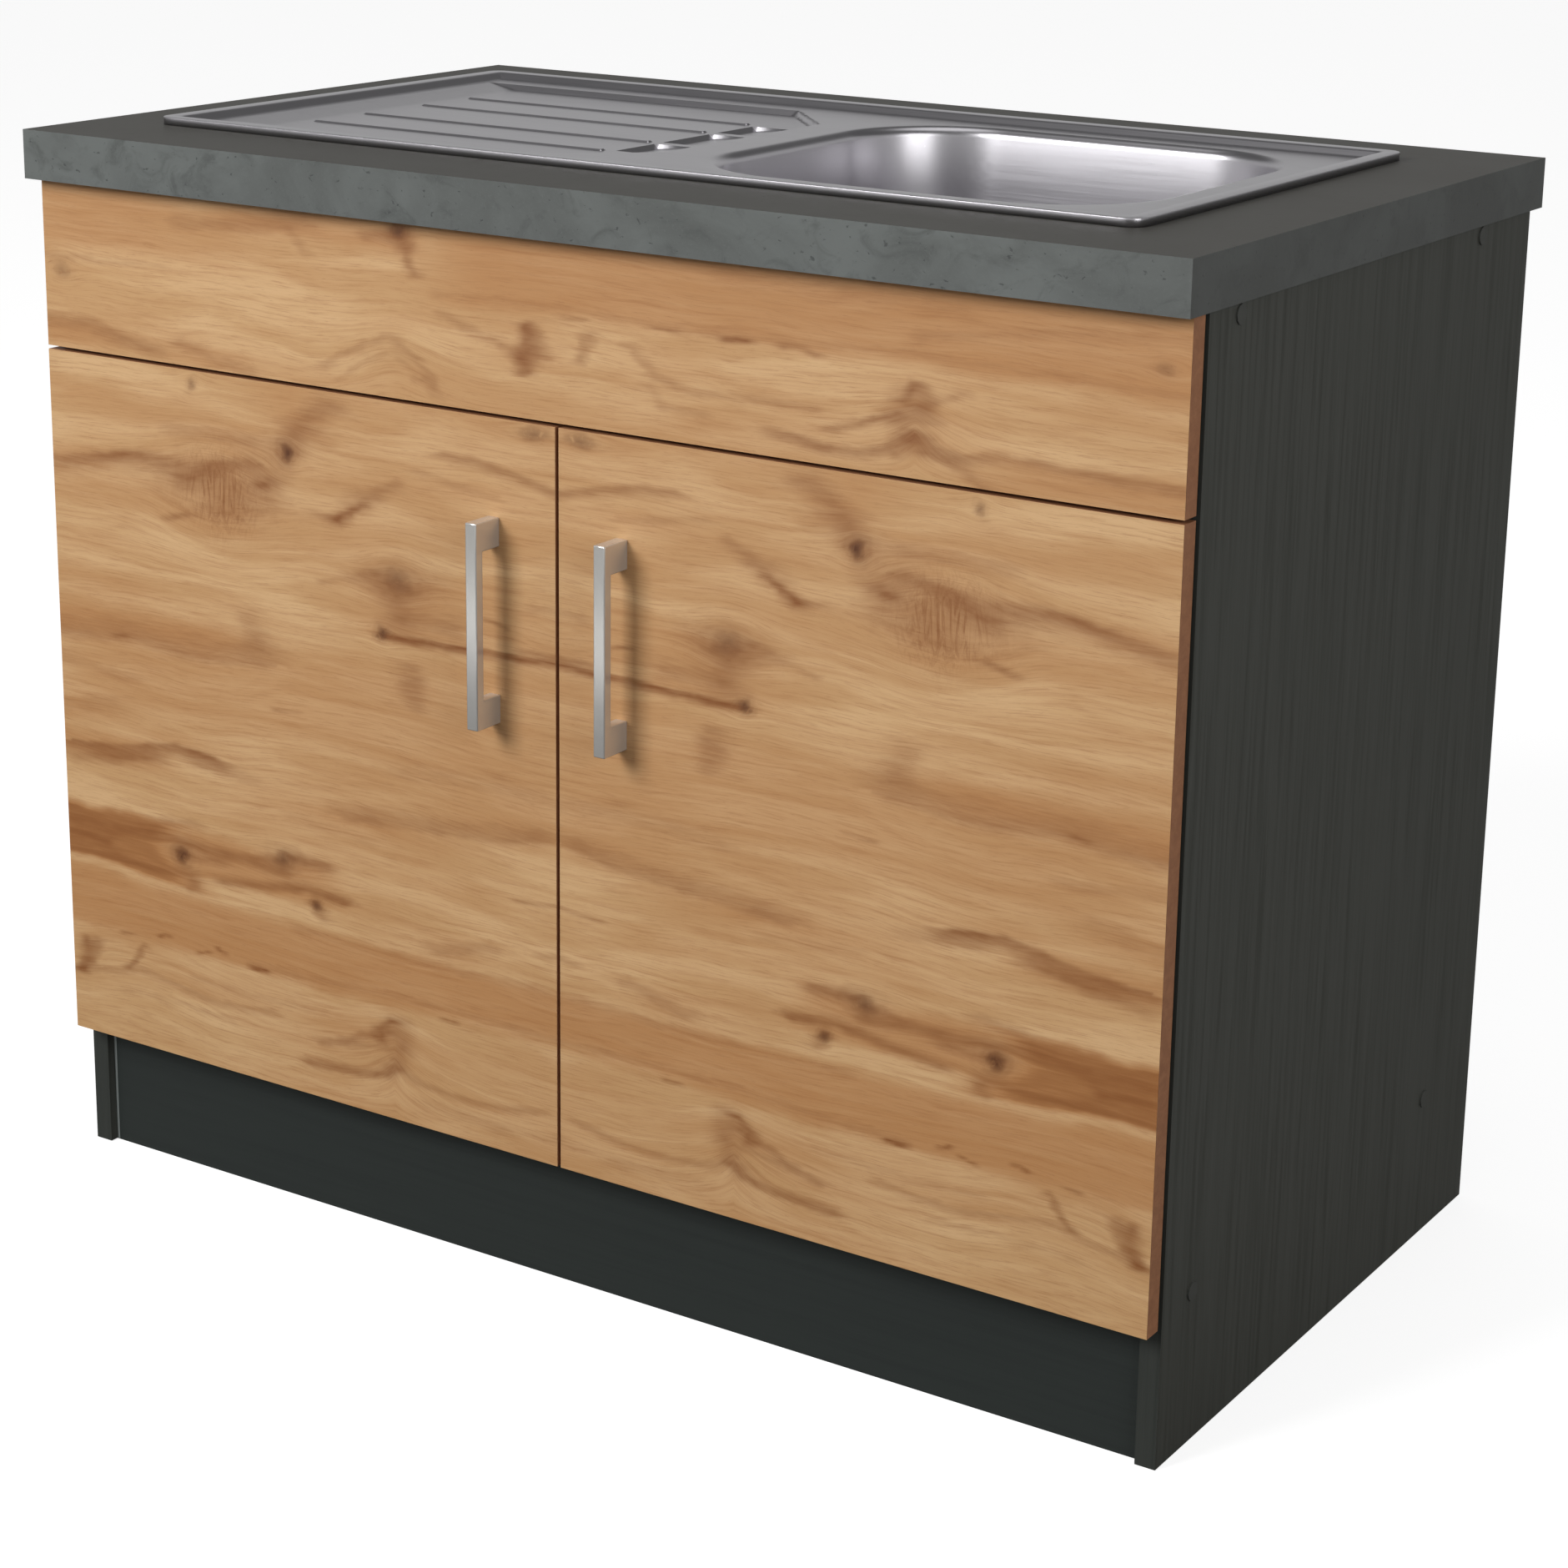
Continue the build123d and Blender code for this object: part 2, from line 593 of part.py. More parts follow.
def arm_outline(side):
    """Arm seen from above: a hooked nose that reaches into the cup, and a body on the ridge."""
    nose_u, nose_v = arm_pivot_short
    long_u, long_v = arm_pivot_long
    boss = link_boss - 0.5
    corners = [
        (nose_u, nose_v - boss),
        (cup_inside - 7.0, nose_v - boss + 0.93),
        (cup_inside - 7.0, 2.2),
        (7.2, -2.0),
        (6.0, -5.0),
        (ridge_inward, -8.0),
        (ridge_inward, arm_rear_forward),
        (ridge_inward + arm_height, arm_rear_forward),
        (ridge_inward + arm_height, 8.0 - door_gap - arm_screw_line),
        (ridge_inward + arm_height + 2, long_v - 8),
        (long_u + link_boss, long_v - link_boss),
        (long_u + link_boss, long_v + link_boss),
        (cup_inside - 1.2, -2.5),
        (cup_inside - 1.2, cup_floor - 2.2),
        (cup_inside - 2.6, cup_floor - 0.6),
        (nose_u + 5, cup_floor - 0.6),
        (nose_u, nose_v + boss),
    ]
    return [from_cup(side, u, v) for u, v in corners]


for hand, side in hands:
    with BuildPart() as hinge_cups:
        for z in hinge_heights:
            middle = (side * cup_x, z)
            # flange on the door's back, cut away on the edge side where the links swing
            with BuildSketch(facing_front(door_back_y)):
                with Locations(middle):
                    RegularPolygon(cup_radius + cup_rim, cup_sides)
                with Locations((side * (cup_x - cup_screw_offset), z)):
                    Rectangle(cup_flange_width, cup_flange_height)
                with Locations((side * (cup_x + cup_radius + cup_screw_offset / 2), z)):
                    Rectangle(2 * cup_radius, cup_flange_height, mode=Mode.SUBTRACT)
            extrude(amount=-cup_flange)
            with BuildSketch(facing_front(door_back_y)):
                with Locations(middle):
                    RegularPolygon(cup_radius - cup_clearance, cup_sides)
            extrude(amount=cup_bore_depth - cup_clearance)
            # straight-sided well for the arm and the links
            with BuildSketch(facing_front(door_back_y + cup_flange)):
                with Locations(middle):
                    RegularPolygon(cup_inside, cup_sides)
                    Rectangle(2 * cup_inside, 2 * ear_near, mode=Mode.INTERSECT)
            extrude(amount=cup_flange + cup_floor, mode=Mode.SUBTRACT)
            # pins of both links, held in the well's sides
            with BuildSketch(Plane.XY.offset(z - ear_near)):
                with Locations(from_cup(side, *cup_pivot_short)):
                    RegularPolygon(pin_radius, pin_sides)
                with Locations(from_cup(side, *cup_pivot_long)):
                    Circle(pin_radius)
            extrude(amount=2 * ear_near)
            with BuildSketch(Plane.XY.offset(z - link_near)):
                with Locations(from_cup(side, *cup_pivot_long)):
                    Rectangle(3 * pin_radius, 3 * pin_radius)
            extrude(amount=2 * link_near, mode=Mode.SUBTRACT)
        with BuildSketch(facing_front(door_back_y)):
            with Locations([(side * (cup_x - cup_screw_offset), z) for z in cup_screw_zs]):
                RegularPolygon(small_screw_radius + fit, screw_sides)
        extrude(amount=-cup_flange, mode=Mode.SUBTRACT)
    hinge_cups.part.label = f"hinge_cups_{hand}"
    export_step(hinge_cups.part, f"parts/hinge_cups_{hand}.step")

    with BuildPart() as hinge_arms:
        for z in hinge_heights:
            with BuildSketch(Plane.XY.offset(z)):
                Polygon(*arm_outline(side), align=None)
                with Locations(from_cup(side, *arm_pivot_short)):
                    RegularPolygon(link_boss - 0.5, pin_sides)
            extrude(amount=arm_half, both=True)
            # slot in the nose for the short link, crossed by its pin
            with BuildSketch(Plane.XY.offset(z)):
                with Locations(from_cup(side, *arm_pivot_short)):
                    RegularPolygon(short_link_reach + link_gap, pin_sides, major_radius=False)
            extrude(amount=short_link_half + link_gap, both=True, mode=Mode.SUBTRACT)
            with BuildSketch(Plane.XY.offset(z)):
                with Locations(from_cup(side, *arm_pivot_short)):
                    RegularPolygon(pin_radius, pin_sides)
            extrude(amount=arm_half, both=True)
            with BuildSketch(Plane.XY.offset(z)):
                with Locations(from_cup(side, *arm_pivot_long)):
                    RegularPolygon(pin_radius + pin_clearance, pin_sides, major_radius=False)
            extrude(amount=arm_half, both=True, mode=Mode.SUBTRACT)
        with BuildSketch(facing_right(side * inner_x)):
            with Locations([(carcass_y + arm_screw_line, z) for z in hinge_heights]):
                RegularPolygon(arm_screw_radius + fit, screw_sides)
        extrude(amount=-side * (ridge_height + arm_height + 2), mode=Mode.SUBTRACT)
    hinge_arms.part.label = f"hinge_arms_{hand}"
    export_step(hinge_arms.part, f"parts/hinge_arms_{hand}.step")

    with BuildPart() as hinge_links_long:
        for z in hinge_heights:
            for end in (-1, 1):
                with BuildSketch(Plane.XY.offset(z + end * link_near)):
                    Polygon(*bar_outline(side, cup_pivot_long, link_knee, link_boss, link_boss), align=None)
                    Polygon(*bar_outline(side, link_knee, arm_pivot_long, link_boss, link_boss), align=None)
                    for spot in (cup_pivot_long, link_knee, arm_pivot_long):
                        with Locations(from_cup(side, *spot)):
                            RegularPolygon(link_boss, pin_sides)
                    with Locations(from_cup(side, *cup_pivot_long)):
                        RegularPolygon(
                            pin_radius + pin_clearance, pin_sides, major_radius=False, mode=Mode.SUBTRACT
                        )
                extrude(amount=end * link_thickness)
            with BuildSketch(Plane.XY.offset(z)):
                with Locations(from_cup(side, *arm_pivot_long)):
                    RegularPolygon(pin_radius, pin_sides)
            extrude(amount=link_far, both=True)
    hinge_links_long.part.label = f"hinge_links_long_{hand}"
    export_step(hinge_links_long.part, f"parts/hinge_links_long_{hand}.step")

    with BuildPart() as hinge_links_short:
        for z in hinge_heights:
            with BuildSketch(Plane.XY.offset(z)):
                Polygon(
                    *bar_outline(side, arm_pivot_short, cup_pivot_short, link_boss - 0.5, short_link_boss),
                    align=None,
                )
                with Locations(from_cup(side, *arm_pivot_short)):
                    RegularPolygon(link_boss - 0.5, pin_sides)
                with Locations(from_cup(side, *cup_pivot_short)):
                    RegularPolygon(short_link_boss, pin_sides, major_radius=False)
                for spot, play in ((arm_pivot_short, pin_clearance), (cup_pivot_short, short_link_play)):
                    with Locations(from_cup(side, *spot)):
                        RegularPolygon(pin_radius + play, pin_sides, major_radius=False, mode=Mode.SUBTRACT)
            extrude(amount=short_link_half, both=True)
    hinge_links_short.part.label = f"hinge_links_short_{hand}"
    export_step(hinge_links_short.part, f"parts/hinge_links_short_{hand}.step")

    with BuildPart() as hinge_plates:
        for z in hinge_heights:
            with BuildSketch(facing_right(side * inner_x)):
                with Locations((hinge_plate_y, z)):
                    Rectangle(hinge_plate_width, hinge_plate_height)
            extrude(amount=-side * hinge_plate)
            with BuildSketch(facing_right(side * inner_x)):
                with Locations((carcass_y + (ridge_front + arm_rear + 2) / 2, z)):
                    Rectangle(arm_rear + 2 - ridge_front, 2 * arm_half)
            extrude(amount=-side * ridge_height)
        with BuildSketch(facing_right(side * inner_x)):
            with Locations(plate_spots):
                RegularPolygon(small_screw_radius + fit, screw_sides)
        extrude(amount=-side * hinge_plate, mode=Mode.SUBTRACT)
        with BuildSketch(facing_right(side * (inner_x - ridge_height))):
            with Locations([(carcass_y + arm_screw_line, z) for z in hinge_heights]):
                RegularPolygon(arm_screw_radius + fit, screw_sides)
        extrude(amount=side * (ridge_height - hinge_plate), mode=Mode.SUBTRACT)
    hinge_plates.part.label = f"hinge_plates_{hand}"
    export_step(hinge_plates.part, f"parts/hinge_plates_{hand}.step")

    with BuildPart() as hinge_screws:
        for radius, amount in ((small_screw_radius, small_screw_in), (small_head_radius, -small_head)):
            with BuildSketch(facing_right(side * (inner_x - hinge_plate))):
                with Locations(plate_spots):
                    RegularPolygon(radius, screw_sides)
            extrude(amount=side * amount)
        arm_screw_x = inner_x - ridge_height - arm_height
        for radius, amount in (
            (arm_screw_radius, arm_height + ridge_height - hinge_plate - 1),
            (arm_screw_head_radius, -small_head),
        ):
            with BuildSketch(facing_right(side * arm_screw_x)):
                with Locations([(carcass_y + arm_screw_line, z) for z in hinge_heights]):
                    RegularPolygon(radius, screw_sides)
            extrude(amount=side * amount)
    hinge_screws.part.label = f"hinge_screws_{hand}"
    export_step(hinge_screws.part, f"parts/hinge_screws_{hand}.step")

    with BuildPart() as hinge_cup_screws:
        for radius, amount in ((small_screw_radius, small_screw_in), (small_head_radius, -small_head)):
            with BuildSketch(facing_front(door_back_y + cup_flange)):
                with Locations([(side * (cup_x - cup_screw_offset), z) for z in cup_screw_zs]):
                    RegularPolygon(radius, screw_sides)
            extrude(amount=amount)
    hinge_cup_screws.part.label = f"hinge_cup_screws_{hand}"
    export_step(hinge_cup_screws.part, f"parts/hinge_cup_screws_{hand}.step")

# ---- sink top: one pressed sheet with a turned-down rim, a stepped drainer and a bowl ----
sink_middle = (sink_x, sink_y)


def drainer_outline(left_run, run, grow):
    """Corners of the drainer's outline, about the sink's middle: its right corners are cut off."""
    left = drainer_left + left_run - grow
    right = drainer_right - run + grow
    half = drainer_half - run + grow
    cut_x = drainer_cut_x
    cut_y = drainer_cut_y
    return [
        (left, -half),
        (right - cut_x, -half),
        (right, -half + cut_y),
        (right, half - cut_y),
        (right - cut_x, half),
        (left, half),
    ]


def scoop_profile(grow):
    """Side view of a scoop at the end of a drainer channel, as X and Z: a steep step, then a ramp up."""
    low = drainer_z - scoop_depth - grow
    end = scoop_start + scoop_length
    return [
        (sink_x + scoop_start - grow, drainer_z),
        (sink_x + scoop_start + scoop_depth, low),
        (sink_x + end + grow, drainer_z),
    ]


def bowl_outline(outset):
    """Points round the bowl's outline, moved out by an even distance: four corners in short steps."""
    points = []
    for corner in range(4):
        across = (1, -1, -1, 1)[corner] * (bowl_width / 2 - bowl_corner)
        along = (1, 1, -1, -1)[corner] * (bowl_length / 2 - bowl_corner)
        for step in range(corner_steps + 1):
            turn = radians(90 * (corner + step / corner_steps))
            reach = bowl_corner + outset
            points.append((waste_x + across + reach * cos(turn), waste_y + along + reach * sin(turn)))
    return points


def bowl_stations(grow):
    """Outset from the bowl's outline and height of each section, from the lip down to the floor.

    The lip and the foot are arcs drawn in short straight steps. The grown form lies one sheet
    thickness outside the other: its lip is tighter and its foot wider by that much.
    """
    lip = bowl_lip - grow
    foot = bowl_foot + grow
    slope = tan(radians(bowl_taper))
    stations = []
    for step in range(lip_steps + 1):
        turn = radians(90 - bowl_taper) * step / lip_steps
        stations.append((bowl_lip - lip * sin(turn), deck_z - bowl_lip + lip * cos(turn)))
    floor_z = deck_z - bowl_depth - grow
    foot_z = floor_z + foot
    foot_outset = grow - (deck_z - foot_z) * slope - foot
    for step in range(foot_steps + 1):
        turn = radians(bowl_taper + (90 - bowl_taper) * step / foot_steps)
        stations.append((foot_outset + foot * cos(turn), foot_z - foot * sin(turn)))
    return stations


with BuildPart() as sink_top:
    # rim: a shallow tray upside down, resting on the worktop on its turned-down edge
    with BuildSketch(Plane.XY.offset(unit_height)):
        with Locations(sink_middle):
            RectangleRounded(sink_width, sink_depth, sink_corner)
    extrude(amount=rim_height)
    chamfer(sink_top.faces().sort_by(Axis.Z)[-1].edges(), rim_edge)
    with BuildSketch(Plane.XY.offset(unit_height)):
        with Locations(sink_middle):
            RectangleRounded(sink_width - 2 * sheet, sink_depth - 2 * sheet, sink_corner - sheet)
    extrude(amount=rim_height - sheet, mode=Mode.SUBTRACT)
    # outsides first, one sheet thickness larger, then the insides cut out of them
    for grow, mode in ((sheet, Mode.ADD), (0, Mode.SUBTRACT)):
        with BuildSketch(Plane.XY.offset(deck_z - grow)):
            with Locations(sink_middle):
                Rectangle(deck_width + 2 * grow, deck_length + 2 * grow)
        with BuildSketch(Plane.XY.offset(rim_top)):
            with Locations(sink_middle):
                Rectangle(deck_width + 2 * (deck_run + grow), deck_length + 2 * (deck_run + grow))
        loft(ruled=True, mode=mode)
        with BuildSketch(Plane.XY.offset(drainer_z - grow)):
            with Locations(sink_middle):
                Polygon(*drainer_outline(drainer_run_left, drainer_run, grow), align=None)
        with BuildSketch(Plane.XY.offset(deck_z)):
            with Locations(sink_middle):
                Polygon(*drainer_outline(0, 0, grow), align=None)
        loft(ruled=True, mode=mode)
        for outset, z in bowl_stations(grow):
            with BuildSketch(Plane.XY.offset(z)):
                Polygon(*bowl_outline(outset), align=None)
        loft(ruled=True, mode=mode)
        with BuildSketch(Plane.XY.offset(bowl_floor - grow)):
            with Locations((waste_x, waste_y)):
                RegularPolygon(waste_recess_radius + grow, waste_sides, major_radius=False)
        extrude(amount=-waste_recess, mode=mode)
        for lower, upper in zip(rib_lines, rib_lines[1:]):
            with BuildSketch(facing_front(sink_y + (lower + upper) / 2)):
                Polygon(*scoop_profile(grow), align=None)
            extrude(amount=(upper - lower) / 2 - scoop_margin + grow, both=True, mode=mode)
    with BuildSketch(Plane.XY.offset(recess_floor)):
        with Locations((waste_x, waste_y)):
            RegularPolygon(waste_hole_radius, waste_sides, major_radius=False)
    extrude(amount=-sheet, mode=Mode.SUBTRACT)
    # ribs: pressed up from below, so each has a groove of the same depth under it
    for rib in rib_lines:
        rib_middle = (sink_x + (rib_start + rib_end) / 2, sink_y + rib)
        with BuildSketch(Plane.XY.offset(drainer_z)):
            with Locations(rib_middle):
                Rectangle(rib_end - rib_start, rib_width)
        extrude(amount=rib_height, taper=45)
        with BuildSketch(Plane.XY.offset(drainer_z - sheet)):
            with Locations(rib_middle):
                Rectangle(rib_end - rib_start - sheet, rib_width - sheet)
        extrude(amount=rib_height, taper=45, mode=Mode.SUBTRACT)
sink_top.part.label = "sink_top"
export_step(sink_top.part, "parts/sink_top.step")

# foam seal under the rim, just inside its turned-down edge
with BuildPart() as sink_seal:
    with BuildSketch(Plane.XY.offset(unit_height)):
        seal_inset = 2 * (sheet + seal_gap)
        with Locations(sink_middle):
            RectangleRounded(sink_width - seal_inset, sink_depth - seal_inset, sink_corner - seal_inset / 2)
            Rectangle(
                sink_width - seal_inset - 2 * seal_width,
                sink_depth - seal_inset - 2 * seal_width,
                mode=Mode.SUBTRACT,
            )
    extrude(amount=rim_height - sheet)
sink_seal.part.label = "sink_seal"
export_step(sink_seal.part, "parts/sink_seal.step")

# hooked clips at both ends: they hang from the deck and clamp the worktop from below
clip_edge_x = deck_width / 2 - clip_from_deck_end
clip_top = deck_z - sheet
clip_foot_top = worktop_bottom - clip_screw_above
clip_screw_x = clip_edge_x + clip_screw_out
clip_ys = [sink_y + end * clip_spacing / 2 for end in (-1, 1)]

with BuildPart() as sink_clips:
    for hand, side in hands:
        leg_x = sink_x + side * (clip_edge_x - clip_thickness / 2)
        foot_x = sink_x + side * (clip_edge_x + (clip_reach - clip_thickness) / 2)
        for y in clip_ys:
            with Locations((leg_x, y, (clip_top + clip_foot_top - clip_thickness) / 2)):
                Box(clip_thickness, clip_width, clip_top - clip_foot_top + clip_thickness)
            with Locations((foot_x, y, clip_foot_top - clip_thickness / 2)):
                Box(clip_reach + clip_thickness, clip_width, clip_thickness)
    with BuildSketch(Plane.XY.offset(clip_foot_top)):
        with Locations([(sink_x + side * clip_screw_x, y) for hand, side in hands for y in clip_ys]):
            RegularPolygon(small_screw_radius + fit, screw_sides)
    extrude(amount=-clip_thickness, mode=Mode.SUBTRACT)
sink_clips.part.label = "sink_clips"
export_step(sink_clips.part, "parts/sink_clips.step")

with BuildPart() as sink_clip_screws:
    with BuildSketch(Plane.XY.offset(worktop_bottom)):
        with Locations([(sink_x + side * clip_screw_x, y) for hand, side in hands for y in clip_ys]):
            RegularPolygon(small_screw_radius, screw_sides)
    extrude(amount=-clip_screw_length)
    with BuildSketch(Plane.XY.offset(worktop_bottom - clip_screw_length)):
        with Locations([(sink_x + side * clip_screw_x, y) for hand, side in hands for y in clip_ys]):
            RegularPolygon(small_head_radius, screw_sides)
    extrude(amount=-small_head)
sink_clip_screws.part.label = "sink_clip_screws"
export_step(sink_clip_screws.part, "parts/sink_clip_screws.step")

# ---- basket strainer waste, on one vertical axis under the bowl ----
strainer_bottom = recess_floor - strainer_depth
body_top = recess_floor - sheet - waste_seal
body_bottom = body_top - waste_body_depth
outlet_bottom = body_bottom - outlet_length

with BuildPart() as strainer_cup:
    with BuildSketch(Plane.XY.offset(strainer_bottom)):
        with Locations((waste_x, waste_y)):
            RegularPolygon(strainer_radius, waste_sides)
    extrude(amount=recess_floor - strainer_bottom)
    with BuildSketch(Plane.XY.offset(recess_floor)):
        with Locations((waste_x, waste_y)):
            RegularPolygon(waste_flange_radius, waste_sides)
    extrude(amount=waste_flange)
    with BuildSketch(Plane.XY.offset(recess_floor + waste_flange)):
        with Locations((waste_x, waste_y)):
            RegularPolygon(strainer_radius - strainer_wall, waste_sides)
    extrude(amount=-(strainer_depth + waste_flange - strainer_wall), mode=Mode.SUBTRACT)
    # drain holes round the waste screw's hole
    with BuildSketch(Plane.XY.offset(strainer_bottom)):
        with Locations((waste_x, waste_y)):
            RegularPolygon(waste_screw_radius + fit, screw_sides)
            with PolarLocations(strainer_radius * 0.55, strainer_holes):
                RegularPolygon(strainer_hole_radius, pin_sides)
    extrude(amount=strainer_wall, mode=Mode.SUBTRACT)
strainer_cup.part.label = "strainer_cup"
export_step(strainer_cup.part, "parts/strainer_cup.step")

with BuildPart() as strainer_seal:
    with BuildSketch(Plane.XY.offset(body_top)):
        with Locations((waste_x, waste_y)):
            RegularPolygon(waste_body_radius, waste_sides)
            RegularPolygon(waste_hole_radius, waste_sides, major_radius=False, mode=Mode.SUBTRACT)
    extrude(amount=waste_seal)
strainer_seal.part.label = "strainer_seal"
export_step(strainer_seal.part, "parts/strainer_seal.step")

with BuildPart() as waste_body:
    with BuildSketch(Plane.XY.offset(body_bottom)):
        with Locations((waste_x, waste_y)):
            RegularPolygon(waste_body_radius, waste_sides)
    extrude(amount=body_top - body_bottom)
    with BuildSketch(Plane.XY.offset(body_top)):
        with Locations((waste_x, waste_y)):
            RegularPolygon(waste_body_radius - waste_wall, waste_sides)
    extrude(amount=body_bottom + waste_wall - body_top, mode=Mode.SUBTRACT)
    # threaded outlet that a trap screws onto
    with BuildSketch(Plane.XY.offset(outlet_bottom)):
        with Locations((waste_x, waste_y)):
            RegularPolygon(outlet_radius, waste_sides)
    extrude(amount=body_bottom - outlet_bottom)
    with BuildSketch(Plane.XY.offset(outlet_bottom)):
        with Locations((waste_x, waste_y)):
            RegularPolygon(outlet_radius - outlet_wall, waste_sides)
    extrude(amount=body_bottom + waste_wall - outlet_bottom, mode=Mode.SUBTRACT)
    # bridge across the body, with the hub that takes the waste screw
    with BuildSketch(Plane.XY.offset(strainer_bottom)):
        with Locations((waste_x, waste_y)):
            RegularPolygon(hub_radius, pin_sides)
            Rectangle(2 * waste_body_radius - waste_wall, waste_wall)
    extrude(amount=-hub_height)
    with BuildSketch(Plane.XY.offset(strainer_bottom)):
        with Locations((waste_x, waste_y)):
            RegularPolygon(waste_screw_radius + fit, screw_sides)
    extrude(amount=-screw_in_hub, mode=Mode.SUBTRACT)
waste_body.part.label = "waste_body"
export_step(waste_body.part, "parts/waste_body.step")

with BuildPart() as waste_screw:
    with BuildSketch(Plane.XY.offset(strainer_bottom + strainer_wall)):
        with Locations((waste_x, waste_y)):
            RegularPolygon(waste_screw_head_radius, screw_sides)
    extrude(amount=waste_screw_head)
    with BuildSketch(Plane.XY.offset(strainer_bottom + strainer_wall)):
        with Locations((waste_x, waste_y)):
            RegularPolygon(waste_screw_radius, screw_sides)
    extrude(amount=1 - strainer_wall - screw_in_hub)
waste_screw.part.label = "waste_screw"
export_step(waste_screw.part, "parts/waste_screw.step")

# lift-out basket: its rim rests on the flange, and its middle rises to a knob over the waste screw
basket_seat = recess_floor + waste_flange + basket_seat_gap
basket_floor = basket_seat - basket_height
with BuildPart() as strainer_basket:
    with BuildSketch(Plane.XY.offset(basket_floor)):
        with Locations((waste_x, waste_y)):
            RegularPolygon(basket_radius, waste_sides)
    extrude(amount=basket_height)
    with BuildSketch(Plane.XY.offset(basket_seat)):
        with Locations((waste_x, waste_y)):
            RegularPolygon(basket_radius + basket_lip, waste_sides)
    extrude(amount=basket_wall)
    with BuildSketch(Plane.XY.offset(basket_seat + basket_wall)):
        with Locations((waste_x, waste_y)):
            RegularPolygon(basket_radius - basket_wall, waste_sides)
    extrude(amount=-basket_height, mode=Mode.SUBTRACT)
    with BuildSketch(Plane.XY.offset(basket_floor)):
        with Locations((waste_x, waste_y)):
            with PolarLocations((basket_post_radius + basket_radius) / 2, basket_slots):
                Rectangle(basket_radius - basket_post_radius - 12, basket_slot)
    extrude(amount=basket_wall, mode=Mode.SUBTRACT)
    with BuildSketch(Plane.XY.offset(basket_floor)):
        with Locations((waste_x, waste_y)):
            RegularPolygon(basket_post_radius, waste_sides)
    extrude(amount=basket_height)
    with BuildSketch(Plane.XY.offset(basket_seat)):
        with Locations((waste_x, waste_y)):
            RegularPolygon(basket_knob_radius, waste_sides)
    extrude(amount=basket_knob)
strainer_basket.part.label = "strainer_basket"
export_step(strainer_basket.part, "parts/strainer_basket.step")
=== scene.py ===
import logging
import math
from dataclasses import dataclass, field
from enum import Enum
from typing import ClassVar, Iterable, Sequence

import bmesh
import bpy
import numpy as np
from mathutils import Matrix, Vector


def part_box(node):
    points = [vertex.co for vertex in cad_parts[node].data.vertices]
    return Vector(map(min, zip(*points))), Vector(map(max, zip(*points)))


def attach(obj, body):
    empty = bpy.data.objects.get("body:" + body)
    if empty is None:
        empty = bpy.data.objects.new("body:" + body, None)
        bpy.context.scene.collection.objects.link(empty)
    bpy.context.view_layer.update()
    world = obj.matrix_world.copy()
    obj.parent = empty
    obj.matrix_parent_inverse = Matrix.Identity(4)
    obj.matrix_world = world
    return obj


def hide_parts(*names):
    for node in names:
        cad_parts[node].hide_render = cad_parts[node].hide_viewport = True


LOG = logging.getLogger("kitchen_sink_unit")
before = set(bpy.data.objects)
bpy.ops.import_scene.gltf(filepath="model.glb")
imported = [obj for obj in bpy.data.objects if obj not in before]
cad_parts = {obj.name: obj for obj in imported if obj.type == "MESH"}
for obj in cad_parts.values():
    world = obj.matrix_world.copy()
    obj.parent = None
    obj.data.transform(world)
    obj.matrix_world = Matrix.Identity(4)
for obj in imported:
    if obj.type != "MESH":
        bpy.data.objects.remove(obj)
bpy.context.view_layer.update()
MM = 0.001  # scene units are metres, sizes below are millimetres
SAME = 1e-6  # values that lie closer count as one
Array = np.ndarray
Socket = bpy.types.NodeSocket
Pair = tuple[float, float]
Triple = tuple[float, float, float]


class Hand(Enum):
    """The two mirrored halves of the cabinet's front."""

    LEFT = -1
    RIGHT = 1

    @property
    def word(self) -> str:
        """Name used at the end of CAD node and body names."""
        return self.name.lower()


# ---- Shader helpers ----


def linear(colour: str) -> tuple[float, float, float, float]:
    """Turns an sRGB hex colour into the linear values that sockets take.

    Args:
        colour: six hex digits after a hash sign.

    Returns:
        Red, green, blue and alpha.
    """
    channels = [int(colour[i : i + 2], 16) / 255 for i in (1, 3, 5)]
    lin = [c / 12.92 if c <= 0.04045 else ((c + 0.055) / 1.055) ** 2.4 for c in channels]
    return lin[0], lin[1], lin[2], 1.0


